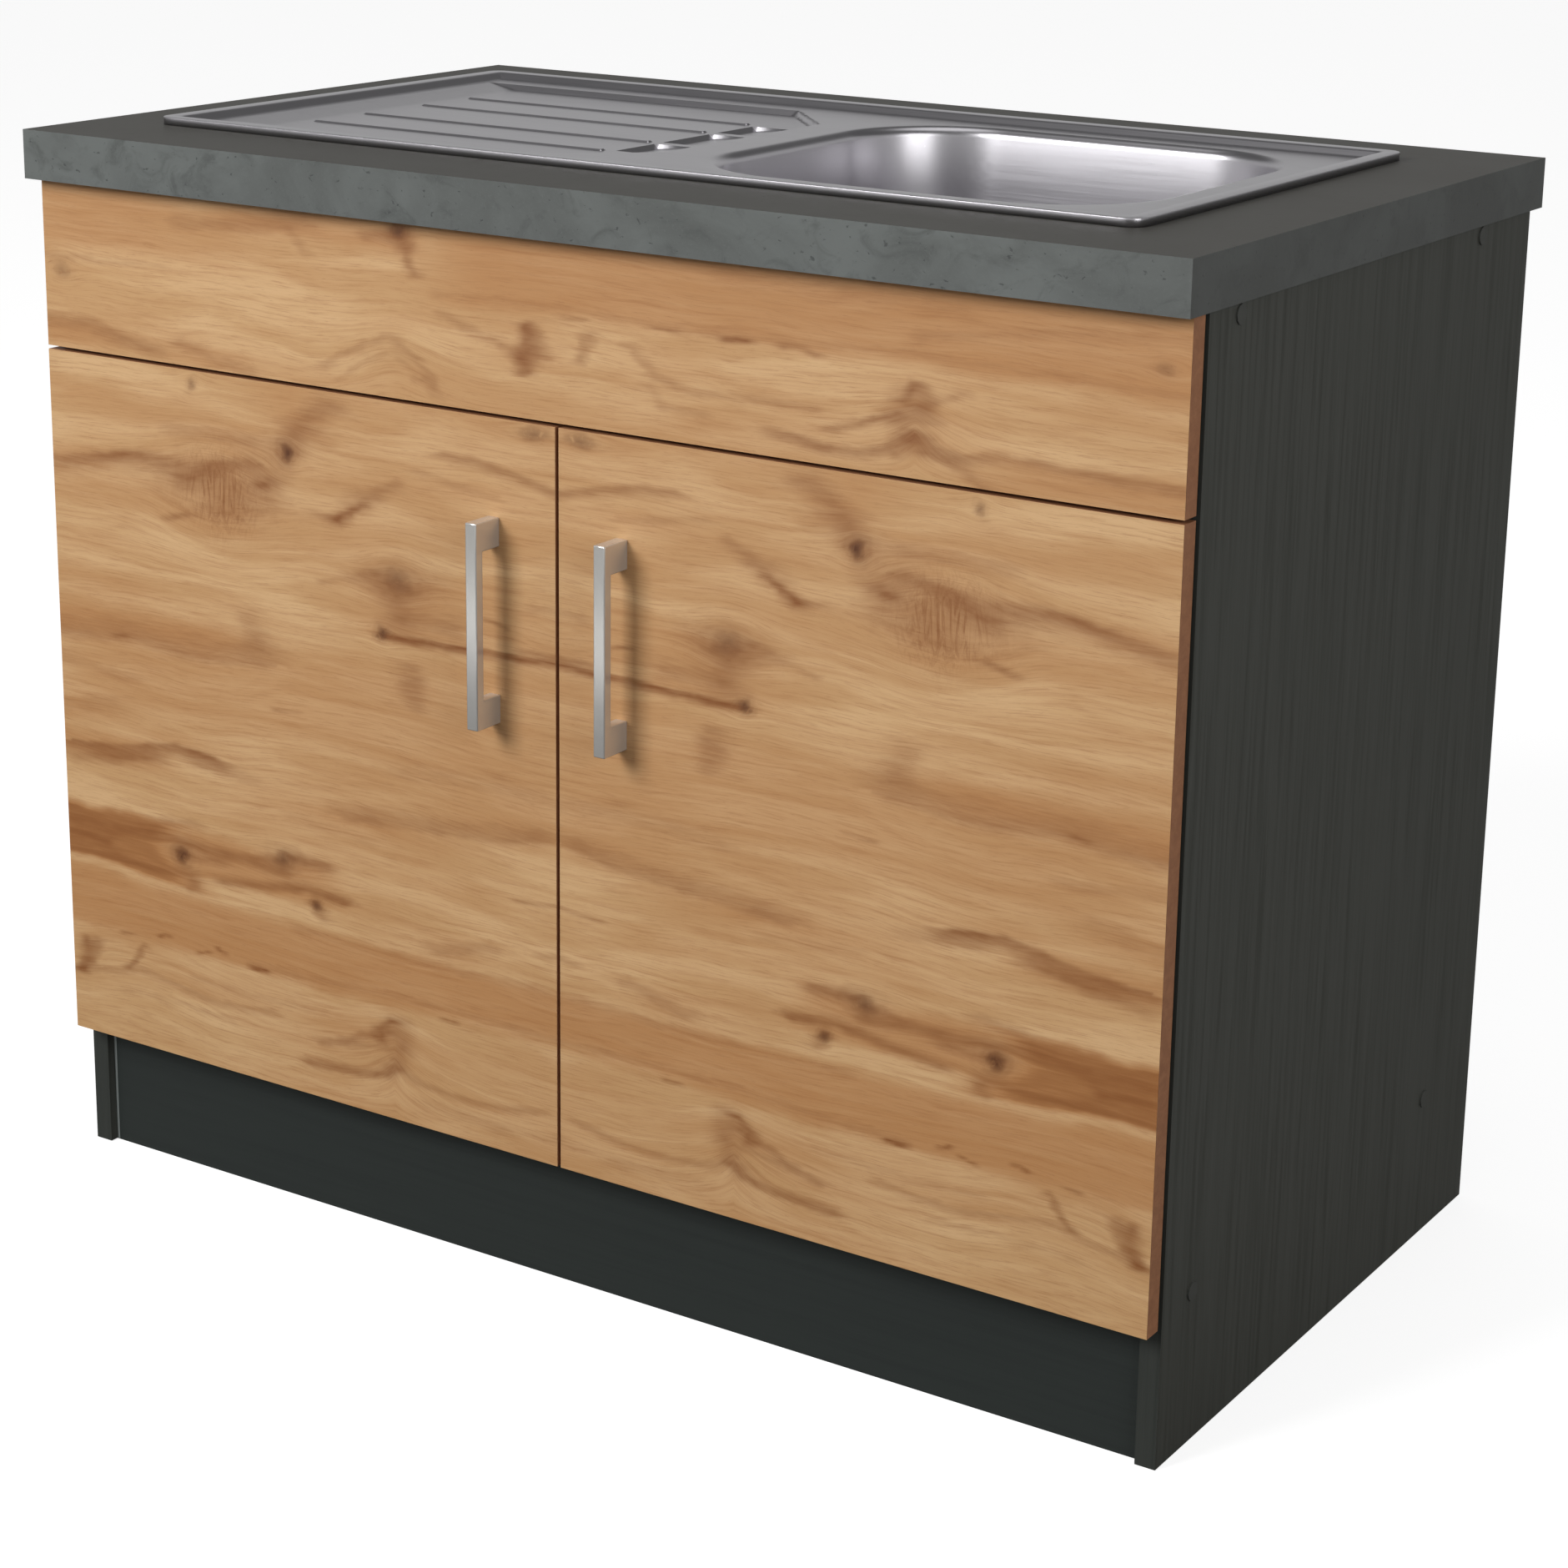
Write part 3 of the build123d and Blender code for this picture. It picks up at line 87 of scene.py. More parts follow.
class Nodes:
    """A node tree that grows one node at a time."""

    def __init__(self, tree: bpy.types.NodeTree) -> None:
        self.tree = tree

    def add(self, kind: str, inputs: dict | None = None, **settings: object) -> bpy.types.Node:
        """Adds a node and feeds its sockets.

        Args:
            kind: Blender's name of the node type.
            inputs: socket name or index to a number, colour or the output that feeds it.
            **settings: properties of the node.

        Returns:
            The new node.
        """
        node = self.tree.nodes.new(kind)
        for name, value in settings.items():
            setattr(node, name, value)
        for name, value in (inputs or {}).items():
            self.feed(node.inputs[name], value)
        return node

    def feed(self, socket: Socket, value: object) -> None:
        """Sets a socket to a value, or links an output to it."""
        if isinstance(value, bpy.types.NodeSocket):
            self.tree.links.new(value, socket)
        elif isinstance(value, str):
            socket.default_value = linear(value)
        else:
            socket.default_value = value

    def ramp(
        self, value: object, low: float, high: float, smooth: bool = True, ends: tuple = (0.0, 1.0)
    ) -> Socket:
        """Maps low and high to the two ends, numbers or outputs, clamped."""
        inputs = {"Value": value, "From Min": low, "From Max": high, "To Min": ends[0], "To Max": ends[1]}
        kind = "SMOOTHSTEP" if smooth else "LINEAR"
        return self.add("ShaderNodeMapRange", inputs, interpolation_type=kind).outputs[0]

    def math(self, operation: str, first: object, second: object = 0.0) -> Socket:
        """One step of arithmetic on two values."""
        return self.add("ShaderNodeMath", {0: first, 1: second}, operation=operation).outputs[0]

    def mix(self, factor: object, first: object, second: object) -> Socket:
        """Mixes two colours."""
        node = self.add("ShaderNodeMix", data_type="RGBA")
        for index, value in ((0, factor), (6, first), (7, second)):
            self.feed(node.inputs[index], value)
        return node.outputs[2]

    def over(self, colour: object, layer: str, mask: object, share: float) -> Socket:
        """Lays a colour over another where a mask is, at a share of its full strength."""
        return self.mix(self.math("MULTIPLY", mask, share), colour, layer)


class Shader(Nodes):
    """The nodes of one material."""

    def __init__(self, name: str) -> None:
        self.material = bpy.data.materials.new(name)
        self.material.use_nodes = True
        super().__init__(self.material.node_tree)
        self.surface = self.tree.nodes["Principled BSDF"]

    def position(self) -> Socket:
        """Object coordinates in metres: every object sits at the origin unturned."""
        return self.add("ShaderNodeTexCoord").outputs["Object"]

    def noise(
        self, vector: object, sizes: Triple, detail: float = 3.0, rough: float = 0.5, skew: float = 0.0
    ) -> Socket:
        """Noise on a position in metres.

        Args:
            vector: output that gives the position.
            sizes: size of one patch of the noise along X, Y and Z, in mm.
            detail: number of finer layers.
            rough: how strong the finer layers are.
            skew: how far the noise is pushed about.

        Returns:
            Values round 0.5.
        """
        factors = tuple(1 / (size * MM) for size in sizes)
        scaled = self.add("ShaderNodeVectorMath", {0: vector, 1: factors}, operation="MULTIPLY")
        inputs = {
            "Vector": scaled.outputs[0],
            "Scale": 1.0,
            "Detail": detail,
            "Roughness": rough,
            "Distortion": skew,
        }
        return self.add("ShaderNodeTexNoise", inputs).outputs[0]

    def facing(self, axis: int, sign: int, least: float = 0.7) -> Socket:
        """One on faces that look along an axis (0, 1 or 2) in the sign's direction, else zero."""
        way = self.add("ShaderNodeTexCoord").outputs["Normal"]
        split = self.add("ShaderNodeSeparateXYZ", {0: way})
        return self.math("GREATER_THAN", self.math("MULTIPLY", split.outputs[axis], float(sign)), least)

    def attribute(self, name: str) -> Socket:
        """A float attribute stored on the mesh's points."""
        return self.add("ShaderNodeAttribute", attribute_name=name).outputs["Fac"]

    def bump(self, height: object, depth: float, strength: float = 1.0) -> None:
        """Presses a height pattern into the surface, depth in mm for a full step."""
        inputs = {"Height": height, "Distance": depth * MM, "Strength": strength}
        self.set(Normal=self.add("ShaderNodeBump", inputs).outputs[0])

    def set(self, **values: object) -> None:
        """Feeds the surface shader's sockets; underscores stand for spaces."""
        for name, value in values.items():
            self.feed(self.surface.inputs[name.replace("_", " ")], value)


# ---- Finishes ----


@dataclass(frozen=True)
class Finish:
    """A material: what it is and how it is made."""

    name: str

    def build(self) -> bpy.types.Material:
        """Makes the node material."""
        shader = Shader(self.name)
        self.draw(shader)
        return shader.material

    def draw(self, s: Shader) -> None:
        """Adds the finish's own nodes."""
        raise NotImplementedError


@dataclass(frozen=True)
class PrintedOak(Finish):
    """Melamine film printed with a knotty oak figure, pressed with shallow pores.

    The broad figure comes from values on the mesh's points: "tone" for dark streaks, "knot" for
    knots, "warm" for brown fields and "burl" for torn grain. Its UV map follows the grain.
    """

    light: str = "#CFA97C"
    base: str = "#C1986A"
    mid: str = "#A07046"
    warm: str = "#AD7848"
    deep: str = "#8F5C31"
    streak: str = "#804B22"
    knot: str = "#562F17"
    # patch sizes of the patterns in mm: along the grain, then across it
    fields: Triple = (190, 24, 24)
    lines: Triple = (95, 4.2, 4.2)
    fibres: Triple = (34, 1.3, 1.3)
    breaks: Triple = (24, 2.4, 2.4)
    strokes: Triple = (8, 15, 15)
    pores: Triple = (9, 0.6, 0.6)
    rings: Triple = (7, 3, 3)

    def draw(self, s: Shader) -> None:
        """Draws the figure from broad to fine, then the pores."""
        grain = s.add("ShaderNodeUVMap", uv_map="grain").outputs[0]
        broad = s.noise(grain, self.fields, 4.0, 0.55, 0.3)
        colour = s.mix(s.ramp(broad, 0.38, 0.62), self.light, self.base)
        lines = s.noise(grain, self.lines, 5.0, 0.6, 0.35)
        uneven = s.math("MULTIPLY", s.math("SUBTRACT", lines, 0.5), 0.6)
        warm = s.math("ADD", s.attribute("warm"), uneven)
        colour = s.over(colour, self.warm, s.ramp(warm, 0.0, 0.8, smooth=False), 0.9)
        colour = s.over(colour, self.deep, s.ramp(warm, 0.65, 1.0), 0.8)
        colour = s.over(colour, self.mid, s.ramp(lines, 0.52, 0.74), 0.28)
        fine = s.noise(grain, self.fibres, 4.0, 0.7, 0.2)
        colour = s.over(colour, self.mid, s.ramp(fine, 0.48, 0.7), 0.5)
        # streaks, broken up along the grain
        broken = s.noise(grain, self.breaks, 5.0, 0.65, 0.5)
        uneven = s.math("MULTIPLY", s.math("SUBTRACT", broken, 0.5), 0.42)
        tone = s.math("ADD", s.attribute("tone"), uneven)
        colour = s.over(colour, self.streak, s.ramp(tone, 0.05, 0.78, smooth=False), 0.95)
        # torn grain: short upright strokes that swirl into each other
        strokes = s.noise(grain, self.strokes, 5.0, 0.7, 3.0)
        torn = s.math("MULTIPLY", s.attribute("burl"), s.ramp(strokes, 0.42, 0.66))
        colour = s.over(colour, self.streak, torn, 0.85)
        pores = s.ramp(s.noise(grain, self.pores, 2.0, 0.5, 0.0), 0.64, 0.74)
        colour = s.over(colour, self.streak, pores, 0.3)
        rings = s.noise(grain, self.rings, 3.0, 0.6, 1.0)
        dark = s.math("MULTIPLY", s.attribute("knot"), s.ramp(rings, 0.1, 0.5))
        colour = s.mix(dark, colour, self.knot)
        s.set(Base_Color=colour, Roughness=0.5, IOR=1.45)
        s.bump(s.math("SUBTRACT", 1.0, pores), 0.05, 0.5)


@dataclass(frozen=True)
class PlainOak(Finish):
    """The same melamine oak on the fronts' backs, with brown plastic edge banding on every edge."""

    base: str = "#C79F76"
    mid: str = "#B1855D"
    band: str = "#8F5F40"
    band_pale: str = "#A3704D"

    def draw(self, s: Shader) -> None:
        """Faces that look forward or back are film, the others banding."""
        place = s.position()
        lines = s.noise(place, (180, 8, 6), 5.0, 0.65, 0.5)
        film = s.mix(s.ramp(lines, 0.4, 0.72), self.base, self.mid)
        fine = s.noise(place, (70, 2, 2), 3.0, 0.6)
        film = s.over(film, self.band, s.ramp(fine, 0.5, 0.8), 0.35)
        facing = s.math("ADD", s.facing(1, 1), s.facing(1, -1))
        band = s.mix(s.ramp(lines, 0.3, 0.8), self.band, self.band_pale)
        s.set(Base_Color=s.mix(facing, band, film), Roughness=0.5)


@dataclass(frozen=True)
class SlateLaminate(Finish):
    """High-pressure laminate printed like honed dark slate, with a fine stony texture."""

    base: str = "#515452"
    cloud: str = "#606462"
    dark: str = "#434644"
    fleck: str = "#303332"
    # top and side are painted shade for faces that look up and faces that look right, not the laminate's
    # own colour
    top: str = "#35322B"
    side: str = "#484846"

    def draw(self, s: Shader) -> None:
        """Clouds and small dark pits, with painted shade darkening the top and the right end."""
        place = s.position()
        clouds = s.noise(place, (130, 90, 90), 5.0, 0.6, 0.8)
        colour = s.mix(s.ramp(clouds, 0.35, 0.68), self.base, self.cloud)
        patches = s.noise(place, (34, 26, 26), 5.0, 0.65, 1.0)
        colour = s.over(colour, self.dark, s.ramp(patches, 0.5, 0.72), 0.7)
        grains = s.noise(place, (2.4, 2.4, 2.4), 3.0, 0.7)
        colour = s.over(colour, self.cloud, s.ramp(grains, 0.52, 0.75), 0.5)
        pits = s.ramp(s.noise(place, (5.5, 4.0, 4.0), 2.0, 0.5, 0.4), 0.66, 0.74)
        colour = s.over(colour, self.fleck, pits, 0.7)
        # painted shade: faces that look up and faces that look to the right are darkened as the light would
        # darken them
        colour = s.over(colour, self.top, s.facing(2, 1), 0.85)
        colour = s.over(colour, self.side, s.facing(0, 1), 0.5)
        s.set(Base_Color=colour, Roughness=0.55)
        s.bump(s.math("SUBTRACT", grains, pits), 0.12, 0.5)


@dataclass(frozen=True)
class DarkMelamine(Finish):
    """Dark grey melamine film printed with a faint wood grain, pressed on chipboard."""

    base: str = "#41423D"
    line: str = "#34352F"
    pale: str = "#4B4C47"
    along: Triple = (6, 6, 240)
    edge: str = "#262B29"
    strip: str | None = None
    strip_width: float = 2.5

    def draw(self, s: Shader) -> None:
        """The grain runs along the longest of the pattern's sizes.

        Where a strip's colour is given, the plinth's ends carry a thin sealing strip of it.
        """
        place = s.position()
        broad = s.noise(place, self.along, 4.0, 0.6, 0.4)
        colour = s.mix(s.ramp(broad, 0.4, 0.7), self.base, self.line)
        fine = s.noise(place, tuple(size / 4 for size in self.along), 3.0, 0.65)
        colour = s.over(colour, self.pale, s.ramp(fine, 0.5, 0.78), 0.6)
        colour = s.over(colour, self.edge, s.facing(1, -1), 0.6)
        if self.strip:
            across = s.math("ABSOLUTE", s.add("ShaderNodeSeparateXYZ", {0: place}).outputs[0])
            end = (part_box("plinth_panel")[1][0] / MM - self.strip_width) * MM
            colour = s.mix(s.math("GREATER_THAN", across, end), colour, self.strip)
        s.set(Base_Color=colour, Roughness=0.5)
        s.bump(fine, 0.05, 0.4)


@dataclass(frozen=True)
class Metal(Finish):
    """A metal: sheet or cast, polished, brushed or plated to the given roughness.

    A share of it is bare; the rest lies under a satin coat that scatters light.
    """

    colour: str = "#C6C6C8"
    rough: float = 0.3
    brushed: Triple | None = None
    depth: float = 0.01
    bare: float = 1.0
    spread: Pair = (0.8, 1.25)

    def draw(self, s: Shader) -> None:
        """Brushed metals get fine lines along the longest pattern size."""
        s.set(Base_Color=self.colour, Metallic=self.bare, Roughness=self.rough)
        if self.brushed:
            lines = s.noise(s.position(), self.brushed, 3.0, 0.6)
            least, most = self.spread
            ends = (self.rough * least, self.rough * most)
            s.set(Roughness=s.ramp(lines, 0.0, 1.0, smooth=False, ends=ends))
            s.bump(lines, self.depth, 0.5)


@dataclass(frozen=True)
class Moulded(Finish):
    """A plain solid: moulded plastic, rubber, foam or turned wood."""

    colour: str = "#DDDDDA"
    rough: float = 0.45
    see_through: float = 0.0

    def draw(self, s: Shader) -> None:
        """Plain, with a faint mottle so that large faces aren't flat."""
        mottle = s.noise(s.position(), (8, 8, 8), 2.0, 0.5)
        dark = s.add("ShaderNodeHueSaturation", {"Value": 0.92, "Color": self.colour}).outputs[0]
        s.set(Base_Color=s.mix(s.ramp(mottle, 0.3, 0.7), self.colour, dark))
        s.set(Roughness=self.rough, Transmission_Weight=self.see_through)


OAK_FILM = PrintedOak("printed oak melamine film")
OAK_BOARD = PlainOak("oak melamine board with plastic banding")
SLATE = SlateLaminate("slate-look laminate worktop")
DARK_SIDE = DarkMelamine("dark melamine, upright grain")
DARK_FLAT = DarkMelamine("dark melamine, level grain", along=(240, 6, 6))
PLINTH = DarkMelamine(
    "dark melamine plinth", "#2B302E", "#242827", "#343937", (240, 5, 4), "#262B29", "#8A908E"
)
SHEET_STEEL = Metal("satin stainless steel sheet", "#B6B4B8", 0.3, (90, 1.2, 1.2))
SATIN_CHROME = Metal("satin chrome zinc casting", "#D2D0CC", 0.14, bare=0.62)
NICKEL = Metal("nickel-plated pressed steel", "#C3C0BA", 0.3)
ZINC = Metal("bright zinc-plated steel", "#B6BABD", 0.35)
WHITE_PLASTIC = Moulded("white polypropylene", "#E4E4E0", 0.4)
DARK_PLASTIC = Moulded("dark grey plastic", "#42433F", 0.5)
RUBBER = Moulded("black rubber", "#1C1C1C", 0.7)
FOAM = Moulded("grey sealing foam", "#4A4A48", 0.9)
BEECH = Moulded("turned beech", "#D2B187", 0.6)
CLEAR = Moulded("clear polyurethane", "#E8ECEC", 0.2, 0.8)
HARDBOARD = Moulded("painted hardboard", "#4A4B46", 0.6)


class Painter:
    """Gives every CAD node and new piece its finish, each material made once."""

    FINISHES: tuple[tuple[Finish, tuple[str, ...]], ...] = (
        (ZINC, ("worktop_screws", "frame_screws", "handle_screws", "waste_screw", "sink_clip")),
        (ZINC, ("plinth_bracket", "false_front_bracket")),
        (CLEAR, ("door_bumpers",)),
        (RUBBER, ("strainer_seal",)),
        (SLATE, ("worktop",)),
        (DARK_SIDE, ("side_panel",)),
        (DARK_FLAT, ("bottom_panel", "front_rail", "rear_rail")),
        (HARDBOARD, ("back_panel",)),
        (PLINTH, ("plinth_panel",)),
        (OAK_BOARD, ("false_front", "door")),
        (BEECH, ("dowels",)),
        (DARK_PLASTIC, ("screw_caps",)),
        (SATIN_CHROME, ("handle",)),
        (NICKEL, ("hinge",)),
        (SHEET_STEEL, ("sink_top", "strainer")),
        (FOAM, ("sink_seal",)),
        (WHITE_PLASTIC, ("waste_body",)),
    )

    def __init__(self) -> None:
        self.made: dict[str, bpy.types.Material] = {}

    def material(self, finish: Finish) -> bpy.types.Material:
        """Returns the finish's material, made on first use."""
        if finish.name not in self.made:
            self.made[finish.name] = finish.build()
        return self.made[finish.name]

    def paint(self, obj: bpy.types.Object, finish: Finish) -> None:
        """Puts one finish on the whole of an object."""
        obj.data.materials.clear()
        obj.data.materials.append(self.material(finish))

    def paint_frame(self) -> None:
        """Gives each CAD node the first finish one of whose words begins the node's name."""
        for name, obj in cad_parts.items():
            finish = next(f for f, starts in self.FINISHES if name.startswith(starts))
            self.paint(obj, finish)


# ---- Mesh helpers ----


def add_piece(name: str, points: Array, faces: Array | list, sharp: float = 30.0) -> bpy.types.Object:
    """Adds a mesh object.

    Args:
        name: the object's name.
        points: positions in mm, one row each.
        faces: point numbers of each face, turning counter-clockwise seen from outside.
        sharp: edges whose faces turn by more than this many degrees stay sharp.

    Returns:
        The new object, at the origin.
    """
    mesh = bpy.data.meshes.new(name)
    rows = faces.tolist() if isinstance(faces, np.ndarray) else faces
    mesh.from_pydata((points * MM).tolist(), [], rows)
    mesh.polygons.foreach_set("use_smooth", np.ones(len(mesh.polygons), dtype=bool))
    mesh.set_sharp_from_angle(angle=math.radians(sharp))
    obj = bpy.data.objects.new(name, mesh)
    bpy.context.scene.collection.objects.link(obj)
    return obj


def grid_faces(rows: int, columns: int, start: int = 0, closed: bool = False) -> Array:
    """Faces of a grid of points numbered row by row.

    Args:
        rows: number of rows of points.
        columns: number of points in a row.
        start: number of the first point.
        closed: the last column joins the first.

    Returns:
        One row of four point numbers for each face.
    """
    row = np.arange(rows - 1)[:, None] * columns
    col = np.arange(columns if closed else columns - 1)[None, :]
    after = (col + 1) % columns
    quads = np.stack([row + col, row + after, row + columns + after, row + columns + col], axis=-1)
    return quads.reshape(-1, 4) + start


def spaced(edges: Sequence[float], step: float) -> Array:
    """Values from the first edge to the last that hit every edge, at most step apart."""
    parts = []
    for low, high in zip(edges, edges[1:]):
        count = max(1, math.ceil((high - low) / step - SAME))
        parts.append(np.linspace(low, high, count + 1)[:-1])
    return np.concatenate(parts + [np.array([edges[-1]])])


def rounded_loop(middle: Pair, half: Pair, radius: float, shares: Sequence[Array]) -> Array:
    """Points round a rectangle with round corners, counter-clockwise from its front left corner.

    Each side runs from the middle of one corner's arc to the middle of the next, and its points lie
    at the given shares of that length, so that loops of other sizes pair point by point.

    Args:
        middle: centre of the rectangle.
        half: half its width and depth.
        radius: corner radius.
        shares: for the front, right, back and left sides, values from 0 up to but not at 1.

    Returns:
        One row of X and Y for each point.
    """
    loop = []
    radius = max(radius, 0.0)
    for side, share in enumerate(shares):
        run = half[side % 2] * 2 - 2 * radius
        away = half[(side + 1) % 2]
        arc = radius * math.pi / 4
        length = share * (run + 2 * arc)
        # along the side and out from the middle, before the side is turned into place
        along = np.clip(length - arc, 0, run) - run / 2
        out = np.full_like(along, away)
        if radius > 0:
            first = np.clip(arc - length, 0, None) / radius
            last = np.clip(length - arc - run, 0, None) / radius
            along = along - radius * np.sin(first) + radius * np.sin(last)
            out = out - radius * (1 - np.cos(first)) - radius * (1 - np.cos(last))
        turn = side * math.pi / 2
        x = along * math.cos(turn) + out * math.sin(turn)
        y = along * math.sin(turn) - out * math.cos(turn)
        loop.append(np.stack([middle[0] + x, middle[1] + y], axis=1))
    return np.concatenate(loop)


# ---- Oak figure of the fronts ----


class Clouds:
    """Smooth noise on a plane, from -1 to 1, the same on each run."""

    SHIFT = (17.3, 5.9)  # moves each layer away from the one before
    HEIGHT = 1.6  # brings the layers' sum back to about one

    def __init__(self, seed: int, cells: int = 97) -> None:
        self.table = np.random.default_rng(seed).random((cells, cells)) * 2 - 1

    def at(self, along: Array, up: Array, size: Pair, octaves: int = 3) -> Array:
        """Adds up blends between the table's values.

        Args:
            along: positions along the grain, in mm.
            up: positions across the grain, in mm.
            size: size of one patch along and across the grain, in mm.
            octaves: layers, each of half the size and half the height of the one before.

        Returns:
            The noise at each position.
        """
        total = np.zeros_like(along)
        cells = len(self.table)
        for octave in range(octaves):
            u = along / size[0] * 2**octave + self.SHIFT[0] * octave + cells
            v = up / size[1] * 2**octave + self.SHIFT[1] * octave + cells
            i, j = np.floor(u).astype(int), np.floor(v).astype(int)
            a, b = u - i, v - j
            a, b = a * a * (3 - 2 * a), b * b * (3 - 2 * b)
            row, column, row2, column2 = i % cells, j % cells, (i + 1) % cells, (j + 1) % cells
            low = self.table[row, column] * (1 - a) + self.table[row2, column] * a
            high = self.table[row, column2] * (1 - a) + self.table[row2, column2] * a
            total = total + (low * (1 - b) + high * b) / 2**octave
        return total / self.HEIGHT


@dataclass(frozen=True)
class Streak:
    """A smudged line of the figure.

    Its path is given as along and up; it fades over one distance above it and another below it.
    """

    TIP: ClassVar[float] = 3.0  # least reach past the path's ends, in mm

    path: tuple[Pair, ...]
    above: float
    below: float
    dark: float

    def strength(self, along: Array, up: Array) -> Array:
        """Full on the path, with tapering ends."""
        nearest = np.full_like(along, np.inf)
        for (x0, z0), (x1, z1) in zip(self.path, self.path[1:]):
            run = np.array([x1 - x0, z1 - z0])
            share = ((along - x0) * run[0] + (up - z0) * run[1]) / (run @ run)
            share = np.clip(share, 0, 1)
            over = up - z0 - share * run[1]
            beside = along - x0 - share * run[0]
            fade = np.where(over > 0, self.above, self.below)
            nearest = np.minimum(nearest, np.hypot(beside / (2 * fade + self.TIP), over / fade))
            if abs(run[1]) > abs(run[0]):
                nearest = np.minimum(nearest, np.hypot(beside, over) / self.above)
        return self.dark * np.exp(-(nearest**2))


@dataclass(frozen=True)
class Knot:
    """A knot: middle, half sizes along and up, how dark it is, and how far round it the grain bends."""

    along: float
    up: float
    half_along: float
    half_up: float
    dark: float
    bend: float = 3.0

    def away(self, along: Array, up: Array) -> Array:
        """Distance from the middle, one at the half sizes."""
        return np.hypot((along - self.along) / self.half_along, (up - self.up) / self.half_up)


@dataclass(frozen=True)
class Band:
    """A soft brown field between two values of along and up, faded over an edge, of some strength."""

    along: Pair
    up: Pair
    strength: float
    edge: float = 9.0


@dataclass(frozen=True)
class Crown:
    """A place where the grain lines rise to a peak: middle, height, and reach along and up."""

    along: float
    up: float
    lift: float
    reach_along: float
    reach_up: float
    pointed: bool = True


@dataclass(frozen=True)
class Figure:
    """The printed figure of one front.

    Burls are spots where the grain is torn. A band's ends fade over its edge times the band fade.
    """

    RING_TURN: ClassVar[float] = 7.0  # turn of a knot's rings over its half size
    HALO_REACH: ClassVar[float] = 1.9  # a knot's halo, in its half sizes
    HALO: ClassVar[Pair] = (0.28, 0.3)  # darkness of the halo, and of the rings in it
    UNEVEN: ClassVar[Pair] = (0.86, 0.3)  # streaks: least strength, and how much it varies
    GROUND: ClassVar[Pair] = (0.16, 0.34)  # brown ground: its strength, and how much it varies
    ROUND_KNOTS: ClassVar[float] = 0.75  # how far the grain lines part round a knot

    streaks: tuple[Streak, ...] = ()
    knots: tuple[Knot, ...] = ()
    bands: tuple[Band, ...] = ()
    crowns: tuple[Crown, ...] = ()
    burls: tuple[Knot, ...] = ()
    band_fade: float = 8.0

    def warped(self, along: Array, up: Array) -> tuple[Array, Array]:
        """Positions pushed about by a few mm, so that no drawn line runs smooth."""
        x = along + 9 * Clouds(1).at(along, up, (60, 26)) + 3.0 * Clouds(2).at(along, up, (12, 5))
        z = up + 2.0 * Clouds(3).at(along, up, (70, 30)) + 1.3 * Clouds(4).at(along, up, (11, 5))
        return x, z

    def tone(self, along: Array, up: Array) -> Array:
        """How dark the streaks and the knots' halos are at each point."""
        x, z = self.warped(along, up)
        total = np.zeros_like(along)
        for streak in self.streaks:
            total = 1 - (1 - total) * (1 - streak.strength(x, z))
        for k in self.knots:
            away = k.away(x, z)
            rings = 0.5 + 0.5 * np.cos(away * self.RING_TURN)
            halo = k.dark * (self.HALO[0] + self.HALO[1] * rings) * np.exp(-((away / self.HALO_REACH) ** 2))
            total = 1 - (1 - total) * (1 - halo)
        return total * (self.UNEVEN[0] + self.UNEVEN[1] * Clouds(5).at(along, up, (30, 8)))

    def cores(self, spots: Sequence[Knot], along: Array, up: Array) -> Array:
        """How strongly knots or burls show at each point."""
        x, z = self.warped(along, up)
        total = np.zeros_like(along)
        for k in spots:
            total = np.maximum(total, k.dark * np.exp(-(k.away(x, z) ** 2)))
        return total

    def warm(self, along: Array, up: Array) -> Array:
        """Strength of the brown fields at each point, over a cloudy ground."""
        x, z = self.warped(along, up)
        x = x + 22 * Clouds(6).at(along, up, (110, 40))
        z = z + 6 * Clouds(7).at(along, up, (120, 36))
        total = self.GROUND[0] + self.GROUND[1] * Clouds(8).at(x, z, (210, 34), 4)
        for b in self.bands:
            fade = self.band_fade * b.edge
            inside = np.minimum((x - b.along[0]) / fade, (b.along[1] - x) / fade)
            inside = np.minimum(inside, np.minimum((z - b.up[0]) / b.edge, (b.up[1] - z) / b.edge))
            share = np.clip(inside * 0.5 + 0.5, 0, 1)
            total = np.maximum(total, b.strength * share * share * (3 - 2 * share))
        return np.clip(total, 0, 1)

    def grain(self, along: Array, up: Array) -> Array:
        """Height of the grain line at each point: it waves, passes round knots and peaks at crowns."""
        line = up + 7 * Clouds(9).at(along, up, (190, 70)) + 1.2 * Clouds(10).at(along, up, (45, 18))
        for k in self.knots + self.burls:
            near = ((along - k.along) / (k.half_along * k.bend)) ** 2
            near = near + ((up - k.up) / (k.half_up * k.bend * 0.8)) ** 2
            line = line - self.ROUND_KNOTS * (up - k.up) * np.exp(-near)
        for c in self.crowns:
            beside = np.abs(along - c.along) / c.reach_along
            near = np.exp(-beside) if c.pointed else np.exp(-(beside**2))
            line = line - c.lift * near * np.exp(-(((up - c.up) / c.reach_up) ** 2))
        return line


def streaks(*rows: tuple[float, ...]) -> tuple[Streak, ...]:
    """Makes streaks from rows: fades above and below, darkness, then along and up of each point."""
    return tuple(Streak(tuple(zip(row[3::2], row[4::2])), *row[:3]) for row in rows)


